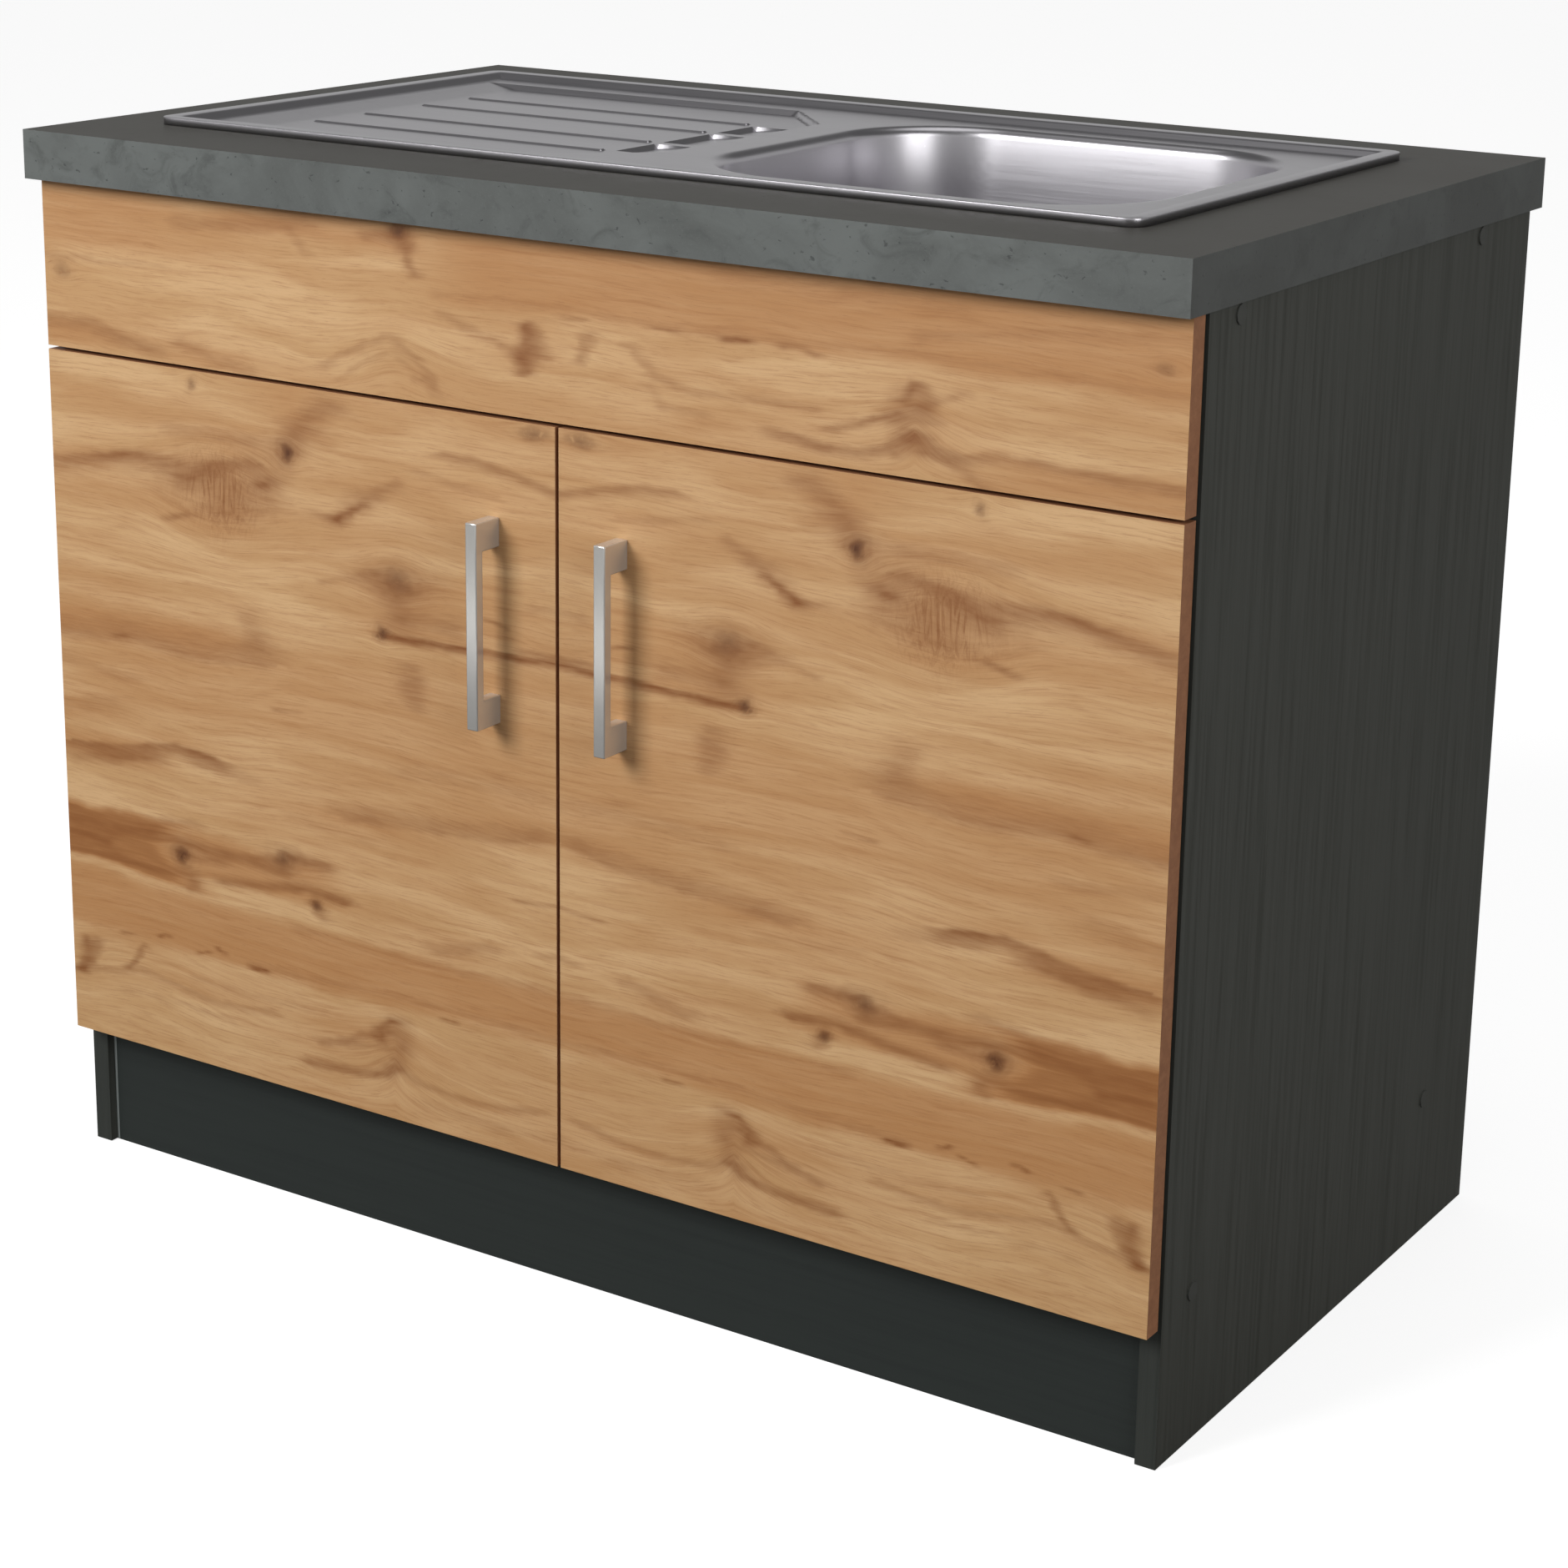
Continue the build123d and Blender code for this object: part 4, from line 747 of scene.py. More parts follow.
# Along is measured from the middle of the gap between the doors towards the door's outer edge,
# up from the floor. The left door carries the same figure mirrored.
DOOR_FIGURE = Figure(
    streaks=streaks(
        (3, 6, 0.5, 0, 630, 30, 636, 70, 642, 105, 644), (3, 4, 0.25, 60, 618, 130, 627),
        (5, 7, 0.35, 150, 613, 180, 604), (5, 6, 0.42, 168, 602, 186, 592, 206, 579),
        (2.2, 2.2, 0.5, 180, 594, 206, 579), (4, 4, 0.3, 205, 579, 225, 581),
        (20, 20, 0.42, 292, 590, 320, 578, 348, 590), (14, 14, 0.22, 232, 640, 262, 618),
        (15, 13, 0.3, 132, 545, 166, 541), (9, 9, 0.4, 212, 667, 235, 648, 253, 630),
        (5, 10, 0.5, 290, 612, 320, 606, 345, 600, 400, 604, 440, 597, 494, 588),
        (7, 6, 0.3, 290, 628, 330, 628, 365, 628), (3, 3, 0.35, 420, 603, 445, 600),
        (2.5, 2.5, 0.5, 355, 562, 375, 557), (5, 5, 0.5, 268, 600, 275, 597),
        (2.5, 3, 0.6, 0, 507, 30, 506), (2.2, 4.5, 0.8, 0, 502, 50, 500, 110, 499, 150, 498),
        (1.8, 1.8, 0.5, 50, 521, 66, 524), (9, 8, 0.35, 95, 514, 145, 518, 162, 536),
        (8, 8, 0.3, 146, 535, 143, 500), (3, 3, 0.3, 170, 545, 190, 538, 220, 530),
        (4, 4, 0.3, 0, 541, 20, 540), (5.5, 5.5, 0.45, 138, 474, 137, 446),
        (8, 8, 0.3, 288, 492, 290, 470), (16, 6, 0.35, 285, 455, 350, 451, 420, 453, 494, 446),
        (2, 2, 0.4, 250, 421, 266, 420), (12, 4, 0.38, 15, 364, 40, 358, 100, 353, 150, 350, 200, 345),
        (2.5, 10, 0.62, 340, 368, 380, 372, 420, 363, 450, 358, 482, 357),
        (5, 5, 0.35, 400, 357, 440, 350, 480, 343), (6, 5, 0.28, 300, 357, 345, 360),
        (4, 6, 0.5, 225, 302, 252, 303, 280, 298, 300, 293),
        (5, 4, 0.62, 205, 276, 240, 279, 270, 275, 300, 271, 330, 268),
        (5, 5, 0.55, 270, 290, 330, 290, 400, 293, 450, 287, 494, 290), (4, 4, 0.4, 335, 283, 370, 281),
        (5, 8, 0.3, 365, 310, 400, 303, 494, 300), (5, 5, 0.42, 370, 268, 400, 262, 440, 265, 494, 263),
        (5, 4, 0.55, 455, 276, 494, 277), (4, 4, 0.5, 362, 262, 364, 254),
        (3.5, 3.5, 0.4, 231, 268, 225, 258), (7, 7, 0.3, 65, 267, 100, 260, 115, 256),
        (2, 2, 0.4, 0, 315, 32, 313), (3, 3, 0.35, 0, 274, 16, 273),
        (3, 6, 0.2, 0, 247, 120, 244, 250, 245), (5, 3, 0.22, 0, 208, 150, 209, 300, 203),
        (1.8, 1.8, 0.85, 290, 201, 301, 200), (1.5, 1.5, 0.6, 102, 200, 112, 200),
        (1.6, 1.6, 0.6, 334, 206, 342, 208), (1.6, 1.6, 0.6, 353, 203, 358, 201),
        (1.6, 1.6, 0.6, 396, 208, 403, 206), (1.6, 1.6, 0.5, 436, 201, 443, 200),
        (2, 2, 0.5, 427, 453, 433, 452), (3, 3, 0.6, 155, 188, 165, 180, 173, 171),
        (7, 7, 0.42, 150, 188, 152, 165, 160, 150),
        (2.5, 4, 0.45, 165, 181, 185, 172, 205, 163, 228, 155),
        (5, 4, 0.5, 157, 150, 170, 142, 200, 137, 245, 134), (3, 3, 0.3, 172, 165, 195, 160, 210, 158),
        (3, 4, 0.32, 150, 150, 130, 143, 100, 140, 60, 141, 20, 149),
        (2.6, 2.6, 0.5, 420, 193, 433, 172), (2.8, 2.8, 0.6, 485, 188, 484, 158),
        (3, 3, 0.4, 472, 190, 478, 168),
        (2.5, 5, 0.3, 280, 168, 340, 162, 380, 168, 420, 172, 460, 165, 494, 160),
        (2.5, 4, 0.22, 330, 150, 380, 153, 440, 149), (3, 5, 0.18, 230, 180, 300, 176, 360, 180),
        (6, 6, 0.2, 0, 128, 60, 124, 120, 127), (8, 8, 0.22, 440, 396, 494, 388),
        (10, 8, 0.2, 0, 395, 60, 400, 140, 392), (6, 6, 0.15, 180, 330, 260, 335),
        (6, 6, 0.2, 420, 420, 494, 425),
    ),
    knots=(
        Knot(254, 624, 5.5, 6.5, 1.0), Knot(149, 543, 11, 10, 0.42, 3.2),
        Knot(162, 498, 4.5, 4.5, 0.85), Knot(266, 299, 11, 7, 0.6), Knot(369, 281, 6.5, 5.5, 1.0),
        Knot(231, 267, 4, 4, 0.75), Knot(22, 670, 12, 5, 0.5), Knot(346, 666, 4, 5, 0.5),
    ),
    bands=(
        Band((-60, 560), (200, 250), 0.62, 7), Band((-60, 560), (388, 482), 0.4, 22),
        Band((285, 560), (449, 478), 0.62), Band((-60, 130), (352, 400), 0.45, 14),
        Band((-60, 60), (100, 142), 0.4, 14), Band((40, 200), (497, 545), 0.42, 12),
        Band((268, 365), (598, 640), 0.5, 12), Band((355, 560), (256, 306), 0.9, 5),
        Band((205, 370), (268, 302), 0.6, 7), Band((385, 560), (346, 372), 0.5, 8),
        Band((208, 262), (634, 680), 0.55, 10), Band((285, 365), (552, 612), 0.55, 14),
        Band((430, 560), (378, 402), 0.45, 10), Band((60, 130), (250, 272), 0.45, 10),
        Band((-60, 150), (495, 540), 0.32, 12), Band((230, 420), (165, 196), 0.3, 12),
        Band((400, 560), (580, 604), 0.45, 10),
    ),
    crowns=(Crown(158, 158, 26, 34, 34), Crown(405, 165, 12, 70, 40, False)),
    burls=(Knot(322, 585, 30, 27, 1.0, 2.0),),
)
# Along is measured to the right from the middle of the unit, up from the floor.
FALSE_FRONT_FIGURE = Figure(
    streaks=streaks(
        (3, 3, 0.6, -28, 748, -29, 713), (4, 4, 0.4, -20, 747, -17, 728), (3, 3, 0.4, 28, 747, 20, 727),
        (2.5, 5, 0.35, -215, 698, -170, 718, -147, 725, -130, 712, -108, 688),
        (2.5, 3, 0.22, -200, 688, -165, 708, -148, 714, -130, 696),
        (5, 3, 0.3, 60, 742, 85, 723, 110, 715, 150, 716, 215, 719),
        (4, 4, 0.25, 75, 716, 95, 704, 130, 702), (3, 3, 0.6, 284, 732, 294, 743),
        (7, 7, 0.42, 291, 736, 288, 716, 297, 705), (4, 4, 0.4, 301, 742, 305, 720),
        (3, 4, 0.5, 280, 721, 255, 713, 225, 706),
        (4, 5, 0.55, 297, 709, 275, 697, 250, 693, 220, 692, 180, 697),
        (3, 6, 0.45, 297, 709, 310, 702, 335, 698, 360, 703, 420, 702, 495, 700),
        (4, 4, 0.35, 308, 700, 330, 690, 350, 680), (3, 3, 0.3, 310, 733, 325, 738, 335, 742),
        (6, 8, 0.4, -495, 702, -450, 702, -420, 695, -385, 690),
        (5, 6, 0.35, -355, 698, -320, 690, -285, 683), (3.5, 3.5, 0.5, -138, 804, -137, 790, -128, 774),
        (4, 4, 0.45, -172, 797, -146, 801), (4, 4, 0.25, -246, 795, -232, 778),
        (2.2, 2.2, 0.75, 143, 757, 158, 757), (3, 3, 0.5, 188, 757, 203, 757, 216, 753),
        (1.8, 1.8, 0.5, 10, 757, 20, 757), (2, 2, 0.4, 85, 759, 98, 758),
        (5, 5, 0.3, -100, 747, -60, 735, -30, 725),
        (4, 4, 0.2, -110, 762, 0, 764, 120, 760, 300, 764, 495, 760),
        (5, 5, 0.25, 300, 776, 400, 790, 495, 795), (8, 6, 0.35, -350, 790, -300, 792, -230, 800),
        (4, 4, 0.22, -495, 752, -380, 754), (8, 8, 0.22, 150, 800, 330, 798),
    ),
    knots=(Knot(-144, 803, 6, 5, 0.7), Knot(-478, 742, 7, 6, 0.35), Knot(482, 776, 6, 4, 0.35)),
    bands=(
        Band((-120, 560), (754, 820), 0.62, 9), Band((-560, -330), (762, 820), 0.55, 12),
        Band((-350, -100), (786, 820), 0.55, 10), Band((-560, -400), (684, 706), 0.55, 9),
        Band((-370, -280), (676, 698), 0.5, 8), Band((-60, 10), (712, 748), 0.42, 10),
        Band((270, 330), (700, 745), 0.4, 10), Band((330, 560), (676, 704), 0.5, 9),
        Band((60, 130), (712, 745), 0.35, 12),
    ),
    crowns=(Crown(296, 712, 20, 30, 26), Crown(-146, 708, 16, 42, 34, False)),
)


@dataclass
class FrontDecor:
    """The printed film on the front of one door or of the false front.

    It is a level grid of points just in front of the board, which carries the figure's values.
    """

    node: str
    body: str
    figure: Figure
    hand: Hand | None = None
    step: float = 2.0
    proud: float = 0.3
    inset: float = 0.05

    def build(self, painter: Painter) -> bpy.types.Object:
        """Adds the film over the node's front face.

        Returns:
            The film, riding on the front's body.
        """
        low, high = (np.array(corner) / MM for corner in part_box(self.node))
        xs, zs = (
            np.linspace(low[i] + self.inset, high[i] - self.inset, int((high[i] - low[i]) / self.step))
            for i in (0, 2)
        )
        x, z = np.meshgrid(xs, zs)
        points = np.stack([x, np.full_like(x, low[1] - self.proud), z], axis=-1).reshape(-1, 3)
        film = add_piece(f"{self.node}_decor", points, grid_faces(len(zs), len(xs)))
        along = points[:, 0] * (self.hand.value if self.hand else 1)
        up = points[:, 2]
        mesh = film.data
        for name, values in (
            ("tone", self.figure.tone(along, up)),
            ("knot", self.figure.cores(self.figure.knots, along, up)),
            ("warm", self.figure.warm(along, up)),
            ("burl", self.figure.cores(self.figure.burls, along, up)),
        ):
            layer = mesh.attributes.new(name, "FLOAT", "POINT")
            layer.data.foreach_set("value", values.astype(np.float32))
        grain = np.stack([along, self.figure.grain(along, up)], axis=1) * MM
        corners = np.zeros(len(mesh.loops), dtype=np.int32)
        mesh.loops.foreach_get("vertex_index", corners)
        layer = mesh.uv_layers.new(name="grain")
        layer.data.foreach_set("uv", grain[corners].astype(np.float32).ravel())
        painter.paint(film, OAK_FILM)
        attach(film, self.body)
        return film


# ---- Handles ----


@dataclass
class Handle:
    """A cast bridge handle: a flat bar whose two feet stand on the door, all edges softened."""

    hand: Hand
    bar: float = 8.0
    foot: float = 22.0
    round: float = 0.9
    segments: int = 3

    def build(self, painter: Painter) -> bpy.types.Object:
        """Adds the handle in place of its CAD node: a side view pushed across its width."""
        node = f"handle_{self.hand.word}"
        low, high = (np.array(corner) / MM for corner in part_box(node))
        y0, y1 = low[1], high[1]
        z0, z1 = low[2], high[2]
        side = [(y0, z0), (y1, z0), (y1, z0 + self.foot), (y0 + self.bar, z0 + self.foot)]
        side += [(y0 + self.bar, z1 - self.foot), (y1, z1 - self.foot), (y1, z1), (y0, z1)]
        count = len(side)
        points = np.array([(x, y, z) for x in (low[0], high[0]) for y, z in side])
        faces = [tuple(range(count - 1, -1, -1)), tuple(range(count, 2 * count))]
        faces += [(i, (i + 1) % count, (i + 1) % count + count, i + count) for i in range(count)]
        obj = add_piece(f"{node}_bridge", points, faces)
        soften = obj.modifiers.new("softened edges", "BEVEL")
        soften.width = self.round * MM
        soften.segments = self.segments
        painter.paint(obj, SATIN_CHROME)
        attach(obj, f"door_{self.hand.word}")
        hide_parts(node)
        return obj


# ---- Sink ----


@dataclass
class SinkSizes:
    """Triple of the pressed sink in mm, measured from its own middle and from its deck's height."""

    half: Pair = (430.0, 217.5)
    corner: float = 12.0
    rim: float = 5.0
    flat: float = 12.0
    slope: float = 10.0
    slope_curve: tuple[Pair, ...] = ((0.0, 0.0), (1.2, 0.25), (3.0, 1.1), (7.0, 3.9), (8.8, 4.75))
    edge: float = 0.4
    edge_foot: float = 0.7
    drainer: Triple = (-402.0, -23.0, 171.0)
    drainer_drop: float = 4.0
    drainer_runs: Pair = (31.0, 5.0)
    drainer_cut: Pair = (60.0, 64.0)
    ribs: tuple[float, ...] = (-106.0, -44.0, 31.0, 93.0)
    rib_span: Pair = (-363.0, -81.0)
    rib_half: float = 3.0
    rib_rise: float = 1.2
    scoop: Pair = (-73.0, -35.0)
    scoop_drop: float = 3.5
    scoop_margin: float = 5.0
    scoop_side: float = 1.5
    bowl_middle: Pair = (201.0, 2.0)
    bowl_half: Pair = (178.0, 167.0)
    bowl_corner: float = 88.0
    bowl_depth: float = 155.0
    bowl_taper: float = 3.0
    bowl_lip: float = 8.0
    bowl_foot: float = 32.0
    recess: float = 57.5
    recess_flare: float = 1.5
    recess_curve: tuple[Pair, ...] = ((0.4, 0.5), (0.0, 1.6), (-0.5, 2.8), (-1.6, 3.0))
    recess_drop: float = 3.0
    hole: float = 45.0
    sheet: float = 1.0


@dataclass
class Sink:
    """The inset sink: one pressed sheet with a rim, a stepped drainer with ribs, and a bowl."""

    sizes: SinkSizes = field(default_factory=SinkSizes)
    split: float = 4.0  # the drainer's grid ends here, right of the drainer
    spacing: Pair = (5.0, 4.0)  # between the grid's lines
    dense: Pair = (2.4, 2.2)  # the same near the drainer's cut corners
    past: Pair = (4.0, 8.0)  # how far the dense lines reach past the cuts
    least: float = 0.9  # lines that lie closer are dropped
    ring_spacing: float = 4.4
    lip_steps: int = 5
    wall_steps: int = 3
    foot_steps: int = 8
    deck_rings: int = 5
    floor_rings: int = 6
    edge_steps: int = 3
    sharp: float = 28.0
    weld_gap: float = 0.02

    def deck_height(self, x: Array, y: Array) -> Array:
        """Height of the drainer's side of the deck, from the deck.

        The drainer's floor lies lower: the drop grows evenly over a run from each edge of its outline,
        whose right corners are cut off. Ribs rise from it with sloping sides, and a scoop between each
        two ribs falls steeply at its left end and rises slowly towards the bowl.
        """
        s = self.sizes
        left, right, half = s.drainer
        run_left, run = s.drainer_runs
        cut_x, cut_y = s.drainer_cut
        size = math.hypot(cut_x, cut_y)
        slant = ((right - x) * cut_y + (half - np.abs(y)) * cut_x - cut_x * cut_y) / size
        inside = np.minimum((x - left) / run_left, (right - x) / run)
        inside = np.minimum(inside, np.minimum(half - np.abs(y), slant) / run)
        height = -s.drainer_drop * np.clip(inside, 0, 1)
        start, end = s.rib_span
        for rib in s.ribs:
            reach = np.minimum(s.rib_half - np.abs(y - rib), np.minimum(x - start, end - x))
            height = height + s.rib_rise * np.clip(reach / s.rib_rise, 0, 1)
        first, last = s.scoop
        steep = s.scoop_drop
        fall = np.minimum((x - first) / steep, (last - x) / (last - first - steep))
        for lower, upper in zip(s.ribs, s.ribs[1:]):
            reach = np.minimum(y - lower - s.scoop_margin, upper - s.scoop_margin - y)
            depth = s.scoop_drop * np.clip(fall, 0, 1)
            height = height - depth * np.clip(reach / s.scoop_side, 0, 1)
        return height

    def bowl_profile(self) -> list[Pair]:
        """Outset from the bowl's outline and height below the deck, from the lip to the floor's edge."""
        s = self.sizes
        taper = math.radians(s.bowl_taper)
        rows = []
        for step in range(self.lip_steps + 1):
            turn = (math.pi / 2 - taper) * step / self.lip_steps
            rows.append((s.bowl_lip * (1 - math.sin(turn)), -s.bowl_lip * (1 - math.cos(turn))))
        foot_up = -s.bowl_depth + s.bowl_foot
        wall = (foot_up + s.bowl_lip * (1 - math.sin(taper))) * math.tan(taper)
        foot_out = wall - s.bowl_foot
        top = rows[-1]
        low = (foot_out + s.bowl_foot * math.cos(taper), foot_up - s.bowl_foot * math.sin(taper))
        for step in range(1, self.wall_steps):
            share = step / self.wall_steps
            rows.append((top[0] + (low[0] - top[0]) * share, top[1] + (low[1] - top[1]) * share))
        for step in range(self.foot_steps + 1):
            turn = taper + (math.pi / 2 - taper) * step / self.foot_steps
            rows.append((foot_out + s.bowl_foot * math.cos(turn), foot_up - s.bowl_foot * math.sin(turn)))
        return rows

    def bowl_loop(self, outset: float, shares: Sequence[Array]) -> Array:
        """The bowl's outline moved out by an even distance."""
        s = self.sizes
        half = (s.bowl_half[0] + outset, s.bowl_half[1] + outset)
        return rounded_loop(s.bowl_middle, half, s.bowl_corner + outset, shares)

    def grid_lines(self, half: Pair) -> tuple[Array, Array]:
        """Lines of the drainer's grid: they follow its edges, ribs and scoops.

        Args:
            half: half the deck's width and depth.

        Returns:
            The lines' X values and Y values.
        """
        s = self.sizes
        cut_x, cut_y = s.drainer_cut
        left, right, reach = s.drainer
        run_left, run = s.drainer_runs
        side = s.rib_half - s.rib_rise
        y_edges = {-half[1], -reach, -reach + run, reach - run, reach, half[1]}
        y_edges |= {rib + away for rib in s.ribs for away in (-s.rib_half, -side, side, s.rib_half)}
        for lower, upper in zip(s.ribs, s.ribs[1:]):
            low, high = lower + s.scoop_margin, upper - s.scoop_margin
            y_edges |= {low, low + s.scoop_side, high - s.scoop_side, high}
        x_edges = {-half[0], left, left + run_left, right - cut_x, right - run, right, self.split}
        x_edges |= {s.rib_span[0], s.rib_span[0] + s.rib_rise, s.rib_span[1] - s.rib_rise, s.rib_span[1]}
        x_edges |= {s.scoop[0], s.scoop[0] + s.scoop_drop, s.scoop[1]}
        corner_x = np.arange(right - cut_x - self.past[0], right, self.dense[0])
        front = np.arange(-reach, -reach + cut_y + self.past[1], self.dense[1])
        back = np.arange(reach - cut_y - self.past[1], reach, self.dense[1])
        lines = []
        for edges, step, corner in (
            (sorted(x_edges), self.spacing[0], corner_x),
            (sorted(y_edges), self.spacing[1], np.concatenate([front, back])),
        ):
            both = np.sort(np.concatenate([spaced(edges, step), corner]))
            lines.append(self.thin(both, self.least, edges))
        return lines[0], lines[1]

    def bowl_rings(self, half: Pair, xs: Array, ys: Array) -> Array:
        """Rings from the edge of the deck's right part into the bowl, down to the hole in its floor.

        Args:
            half: half the deck's width and depth.
            xs: where points lie on the front and back edges.
            ys: where points lie on the left and right edges.

        Returns:
            One row of points for each ring.
        """
        s = self.sizes
        shares = self.shares(xs, ys)
        middle = ((self.split + half[0]) / 2, 0.0)
        outer = rounded_loop(middle, ((half[0] - self.split) / 2, half[1]), 0.0, shares)
        rows = self.bowl_profile()
        lip = self.bowl_loop(rows[0][0], shares)
        steps = np.linspace(0, 1, self.deck_rings)
        rings = [self.level(outer + (lip - outer) * share, 0.0) for share in steps]
        rings += [self.level(self.bowl_loop(outset, shares), height) for outset, height in rows[1:]]
        floor = rings[-1][:, :2]
        angle = np.arctan2(floor[:, 1] - s.bowl_middle[1], floor[:, 0] - s.bowl_middle[0])
        circle = np.stack([np.cos(angle), np.sin(angle)], axis=1)
        bottom = -s.bowl_depth
        edge = np.array(s.bowl_middle) + circle * (s.recess + s.recess_flare)
        for share in np.linspace(0, 1, self.floor_rings)[1:]:
            rings.append(self.level(floor + (edge - floor) * share, bottom))
        for outset, drop in (*s.recess_curve, (s.hole - s.recess, s.recess_drop)):
            flat = np.array(s.bowl_middle) + circle * (s.recess + outset)
            rings.append(self.level(flat, bottom - drop))
        return np.stack(rings)

    def rim_rings(self, half: Pair, xs: Array, ys: Array) -> Array:
        """Rings from the deck's edge up the slope, over the flat rim and down its turned edge."""
        s = self.sizes
        width = s.slope + s.flat
        profile = [*s.slope_curve, (s.slope, s.rim), (width - s.edge, s.rim)]
        for step in range(1, self.edge_steps + 1):
            turn = math.pi / 2 / self.edge_steps * step
            profile.append((width - s.edge * (1 - math.sin(turn)), s.rim - s.edge * (1 - math.cos(turn))))
        profile.append((width, -s.edge_foot))
        rings = []
        for out, height in profile:
            radius = s.corner - (width - out) if out > s.slope else 0.0
            size = (half[0] + out, half[1] + out)
            rings.append(self.level(rounded_loop((0.0, 0.0), size, radius, self.shares(xs, ys)), height))
        return np.stack(rings)

    def build(self, painter: Painter) -> bpy.types.Object:
        """Adds the sheet in place of its CAD node.

        Returns:
            The sheet, one thickness deep below its surface.
        """
        s = self.sizes
        low, high = (np.array(corner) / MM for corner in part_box("sink_top"))
        half = (s.half[0] - s.flat - s.slope, s.half[1] - s.flat - s.slope)
        xs, ys = self.grid_lines(half)
        right_xs = spaced([self.split, half[0]], self.ring_spacing)
        x, y = np.meshgrid(xs, ys)
        plate = np.stack([x, y, self.deck_height(x, y)], axis=-1)
        bowl = self.bowl_rings(half, right_xs, ys)
        rim = self.rim_rings(half, np.concatenate([xs, right_xs[1:]]), ys)
        points, faces, start = [], [], 0
        for grid, closed, turn in ((plate, False, 1), (bowl, True, 1), (rim, True, -1)):
            points.append(grid.reshape(-1, 3))
            faces.append(grid_faces(*grid.shape[:2], start, closed)[:, ::turn])
            start += len(points[-1])
        place = np.array([(low[0] + high[0]) / 2, (low[1] + high[1]) / 2, high[2] - s.rim])
        obj = add_piece("sink_sheet", np.concatenate(points) + place, np.concatenate(faces), self.sharp)
        weld(obj, self.weld_gap)
        thickness = obj.modifiers.new("sheet thickness", "SOLIDIFY")
        thickness.thickness = s.sheet * MM
        thickness.offset = -1.0
        painter.paint(obj, SHEET_STEEL)
        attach(obj, "cabinet")
        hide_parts("sink_top")
        return obj

    @staticmethod
    def shares(xs: Array, ys: Array) -> tuple[Array, ...]:
        """Where a grid's lines meet its four sides, as rounded_loop takes them."""
        across = (xs - xs[0]) / (xs[-1] - xs[0])
        up = (ys - ys[0]) / (ys[-1] - ys[0])
        return across[:-1], up[:-1], 1 - across[:0:-1], 1 - up[:0:-1]

    @staticmethod
    def level(loop: Array, height: float) -> Array:
        """Puts a flat loop at a height."""
        return np.column_stack([loop, np.full(len(loop), height)])

    @staticmethod
    def thin(values: Array, gap: float, keep: Iterable[float]) -> Array:
        """Drops values closer than gap to the one before, but never those to keep."""
        kept = [values[0]]
        fixed = np.array(list(keep))
        for value in values[1:]:
            must = np.min(np.abs(fixed - value)) < SAME
            if value - kept[-1] >= gap:
                kept.append(value)
            elif must and value - kept[-1] > SAME:
                if np.min(np.abs(fixed - kept[-1])) < SAME:
                    kept.append(value)
                else:
                    kept[-1] = value
        return np.array(kept)


def weld(obj: bpy.types.Object, distance: float) -> None:
    """Joins points of a mesh that lie within a distance in mm."""
    work = bmesh.new()
    work.from_mesh(obj.data)
    bmesh.ops.remove_doubles(work, verts=work.verts, dist=distance * MM)
    work.to_mesh(obj.data)
    work.free()


# ---- Studio ----


@dataclass(frozen=True)
class Lamp:
    """A square soft light: where it hangs and the point it faces in metres, its side, its watts."""

    name: str
    place: Triple
    aim: Triple
    size: float
    power: float

    def build(self) -> None:
        """Adds the light."""
        data = bpy.data.lights.new(self.name, "AREA")
        data.size = self.size
        data.energy = self.power
        lamp = bpy.data.objects.new(self.name, data)
        way = Vector(self.aim) - Vector(self.place)
        lamp.rotation_euler = way.to_track_quat("-Z", "Y").to_euler()
        lamp.location = self.place
        bpy.context.scene.collection.objects.link(lamp)


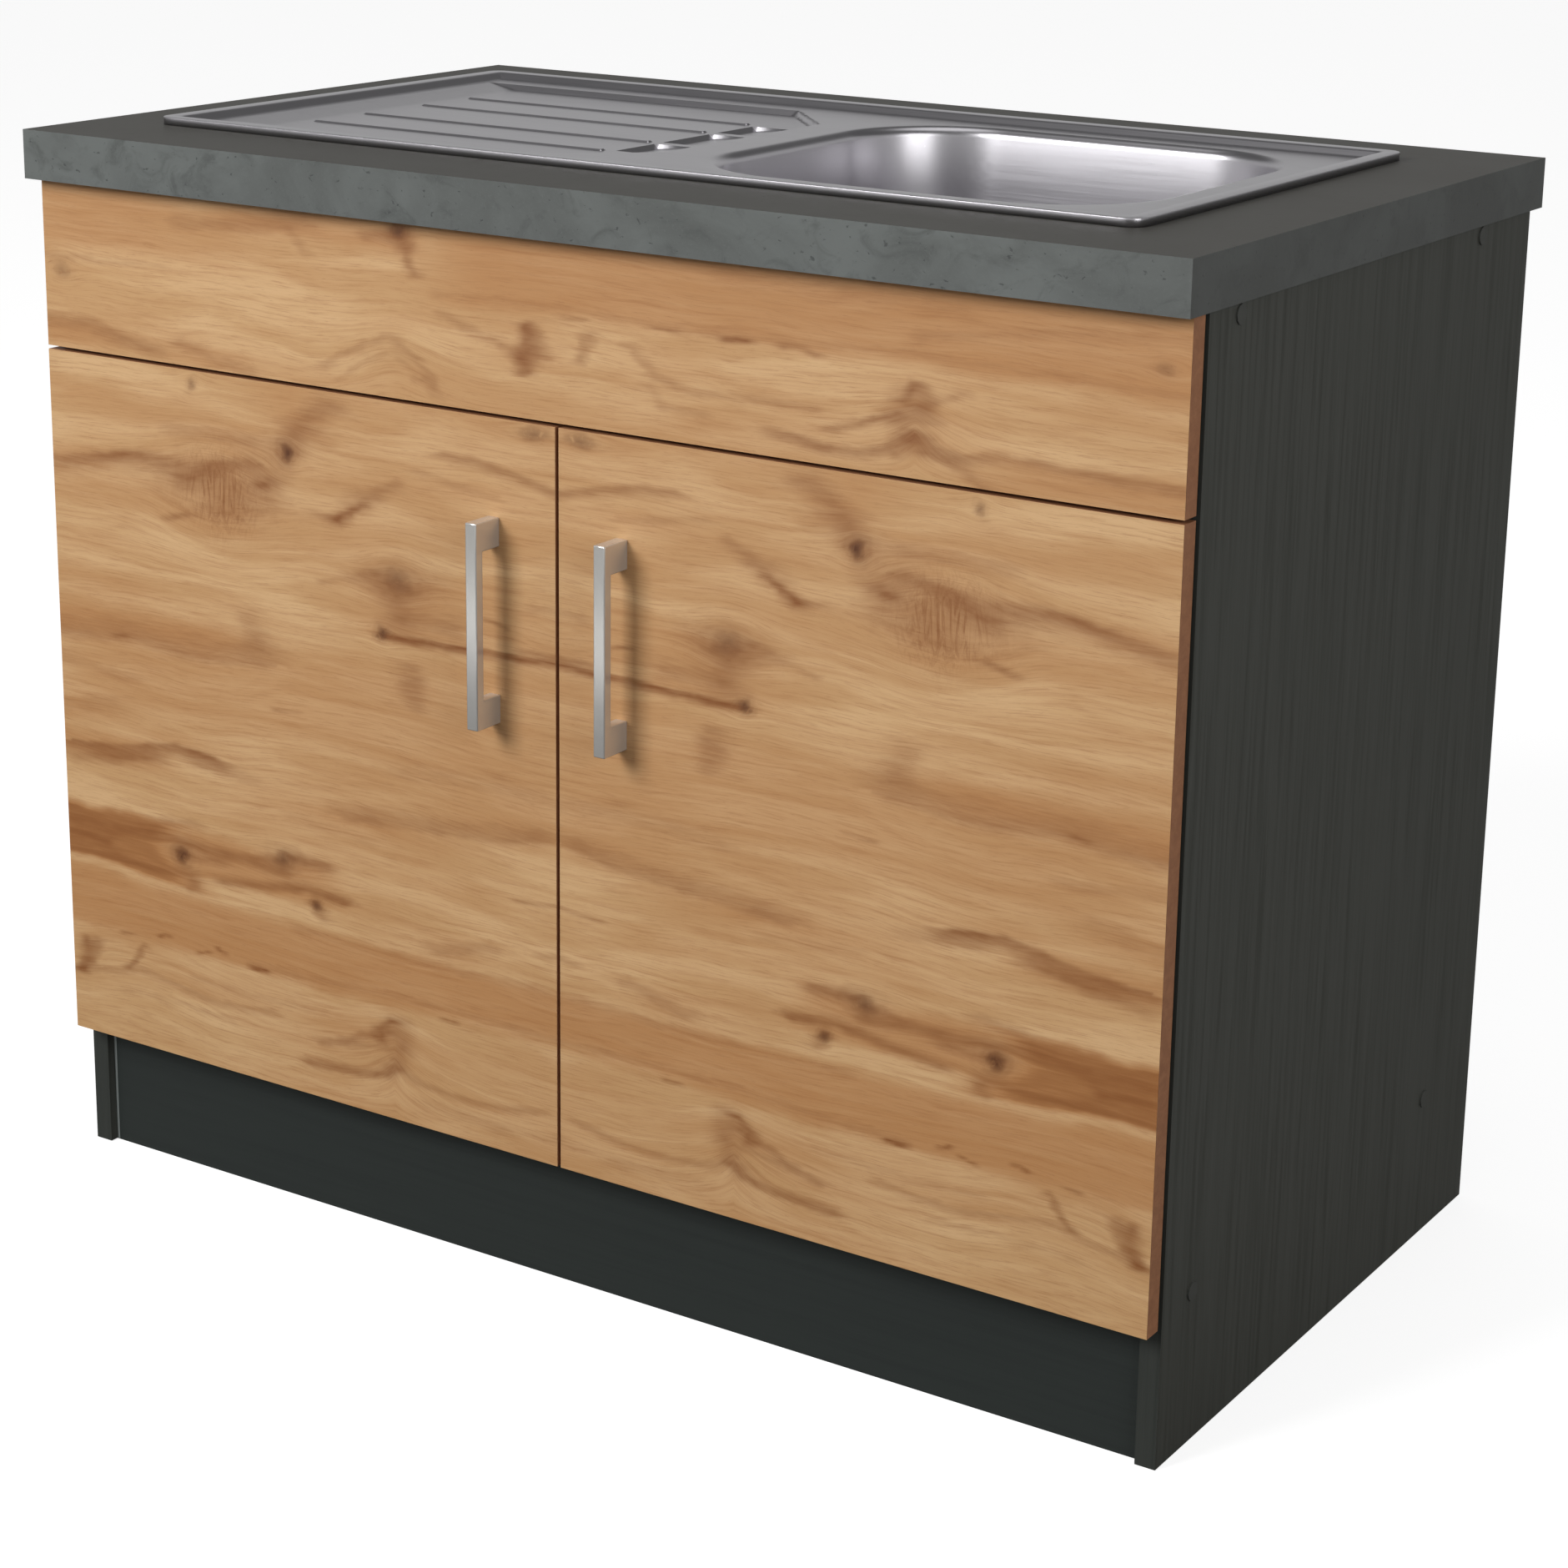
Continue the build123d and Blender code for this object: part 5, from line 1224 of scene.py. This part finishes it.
@dataclass(frozen=True)
class Studio:
    """White studio: a camera at the photo's viewing angle, a pale floor and soft light."""

    eye: Triple = (1431.4, -2207.3, 1190.9)
    yaw: float = 0.5704
    pitch: float = 0.2683
    roll: float = 0.0149
    lens: float = 78.99
    sensor: float = 36.0
    sight: float = 200.0
    shift: float = -0.1
    floor_half: float = 60000.0
    floor_top: float = -0.5
    floor_glow: float = 0.74
    floor_grey: float = 0.5
    # What metals mirror of the floor: a grey, and bands that each begin between two distances
    # behind the unit's middle, in metres.
    far: str = "#6E6E6C"
    bands: tuple[tuple[float, float, str], ...] = (
        (-2.0, -1.9, "#FFFFFF"),
        (-1.76, -1.66, "#1C1C1C"),
        (-0.7, 0.3, "#8C8C8A"),
    )
    # Strength of the surrounding: near the horizon, between, added straight above, to the camera.
    # The first two changes lie between these sines of the elevation.
    horizon: float = 0.6
    dim: float = 0.12
    zenith: float = 1.2
    backdrop: float = 1.1
    horizon_fade: Pair = (0.3, 0.46)
    zenith_fade: Pair = (0.86, 0.96)
    lamps: tuple[Lamp, ...] = (
        Lamp("key", (-1.65, -3.7, 2.8), (0.0, 0.0, 0.42), 2.0, 165.0),
        Lamp("fill", (3.2, -1.6, 1.8), (0.2, 0.0, 0.5), 2.0, 42.0),
    )

    def add_camera(self) -> None:
        """Adds the camera: turned by yaw to the left, pitched down, and rolled about its axis."""
        across, down = math.cos(self.pitch), math.sin(self.pitch)
        ahead = Vector((-math.sin(self.yaw) * across, math.cos(self.yaw) * across, -down))
        level = Vector((math.cos(self.yaw), math.sin(self.yaw), 0.0))
        above = level.cross(ahead)
        right = level * math.cos(self.roll) + above * math.sin(self.roll)
        up = above * math.cos(self.roll) - level * math.sin(self.roll)
        data = bpy.data.cameras.new("camera")
        data.lens = self.lens
        data.sensor_width = self.sensor
        data.shift_y = self.shift
        data.clip_end = self.sight
        camera = bpy.data.objects.new("camera", data)
        turn = Matrix((right, up, -ahead)).transposed().to_4x4()
        turn.translation = Vector(self.eye) * MM
        camera.matrix_world = turn
        bpy.context.scene.collection.objects.link(camera)
        bpy.context.scene.camera = camera

    def add_floor(self) -> None:
        """Adds a wide white floor that keeps a faint shadow under the unit."""
        corners = ((-1, -1), (1, -1), (1, 1), (-1, 1))
        points = np.array([(x * self.floor_half, y * self.floor_half, self.floor_top) for x, y in corners])
        floor = add_piece("floor", points, [(0, 1, 2, 3)])
        s = Shader("white studio floor")
        out = s.tree.nodes["Material Output"]
        seen = s.add("ShaderNodeLightPath").outputs["Is Camera Ray"]
        glow = s.add("ShaderNodeEmission", {"Color": (1, 1, 1, 1), "Strength": self.floor_glow})
        matt = s.add("ShaderNodeBsdfDiffuse", {"Color": (*(self.floor_grey,) * 3, 1)})
        both = s.add("ShaderNodeAddShader", {0: glow.outputs[0], 1: matt.outputs[0]})
        ahead = s.add("ShaderNodeSeparateXYZ", {0: s.position()}).outputs[1]
        shade = self.far
        for start, end, colour in self.bands:
            shade = s.mix(s.ramp(ahead, start, end), shade, colour)
        plain = s.add("ShaderNodeBsdfDiffuse", {"Color": shade})
        mix = s.add("ShaderNodeMixShader", {0: seen, 1: plain.outputs[0], 2: both.outputs[0]})
        s.feed(out.inputs["Surface"], mix.outputs[0])
        floor.data.materials.append(s.material)

    def add_world(self) -> None:
        """Adds the surrounding: plain white to the camera, a studio's bands as light and in mirrors.

        It is bright near the horizon and straight above, and dim between, so that pressed edges of
        the sheet show as dark lines.
        """
        world = bpy.data.worlds.new("studio")
        world.use_nodes = True
        bpy.context.scene.world = world
        n = Nodes(world.node_tree)
        way = n.add("ShaderNodeTexCoord").outputs["Generated"]
        rise = n.add("ShaderNodeSeparateXYZ", {0: way}).outputs[2]
        low = n.ramp(rise, *self.horizon_fade, ends=(self.horizon, self.dim))
        high = n.ramp(rise, *self.zenith_fade, ends=(0.0, self.zenith))
        seen = n.add("ShaderNodeLightPath").outputs["Is Camera Ray"]
        studio = n.math("ADD", low, high)
        strength = n.ramp(seen, 0.0, 1.0, smooth=False, ends=(studio, self.backdrop))
        back = n.tree.nodes["Background"]
        n.feed(back.inputs["Color"], (1, 1, 1, 1))
        n.feed(back.inputs["Strength"], strength)

    def build(self) -> None:
        """Adds the camera, floor, lights and surrounding."""
        scene = bpy.context.scene
        scene.view_settings.view_transform = "Standard"
        self.add_camera()
        self.add_floor()
        self.add_world()
        for lamp in self.lamps:
            lamp.build()


def main() -> None:
    """Builds the unit's look around its CAD frame."""
    logging.basicConfig(level=logging.INFO)
    painter = Painter()
    painter.paint_frame()
    for hand in Hand:
        FrontDecor(f"door_{hand.word}", f"door_{hand.word}", DOOR_FIGURE, hand).build(painter)
        Handle(hand).build(painter)
    FrontDecor("false_front", "cabinet", FALSE_FRONT_FIGURE).build(painter)
    Sink().build(painter)
    Studio().build()


if __name__ == "__main__":
    main()
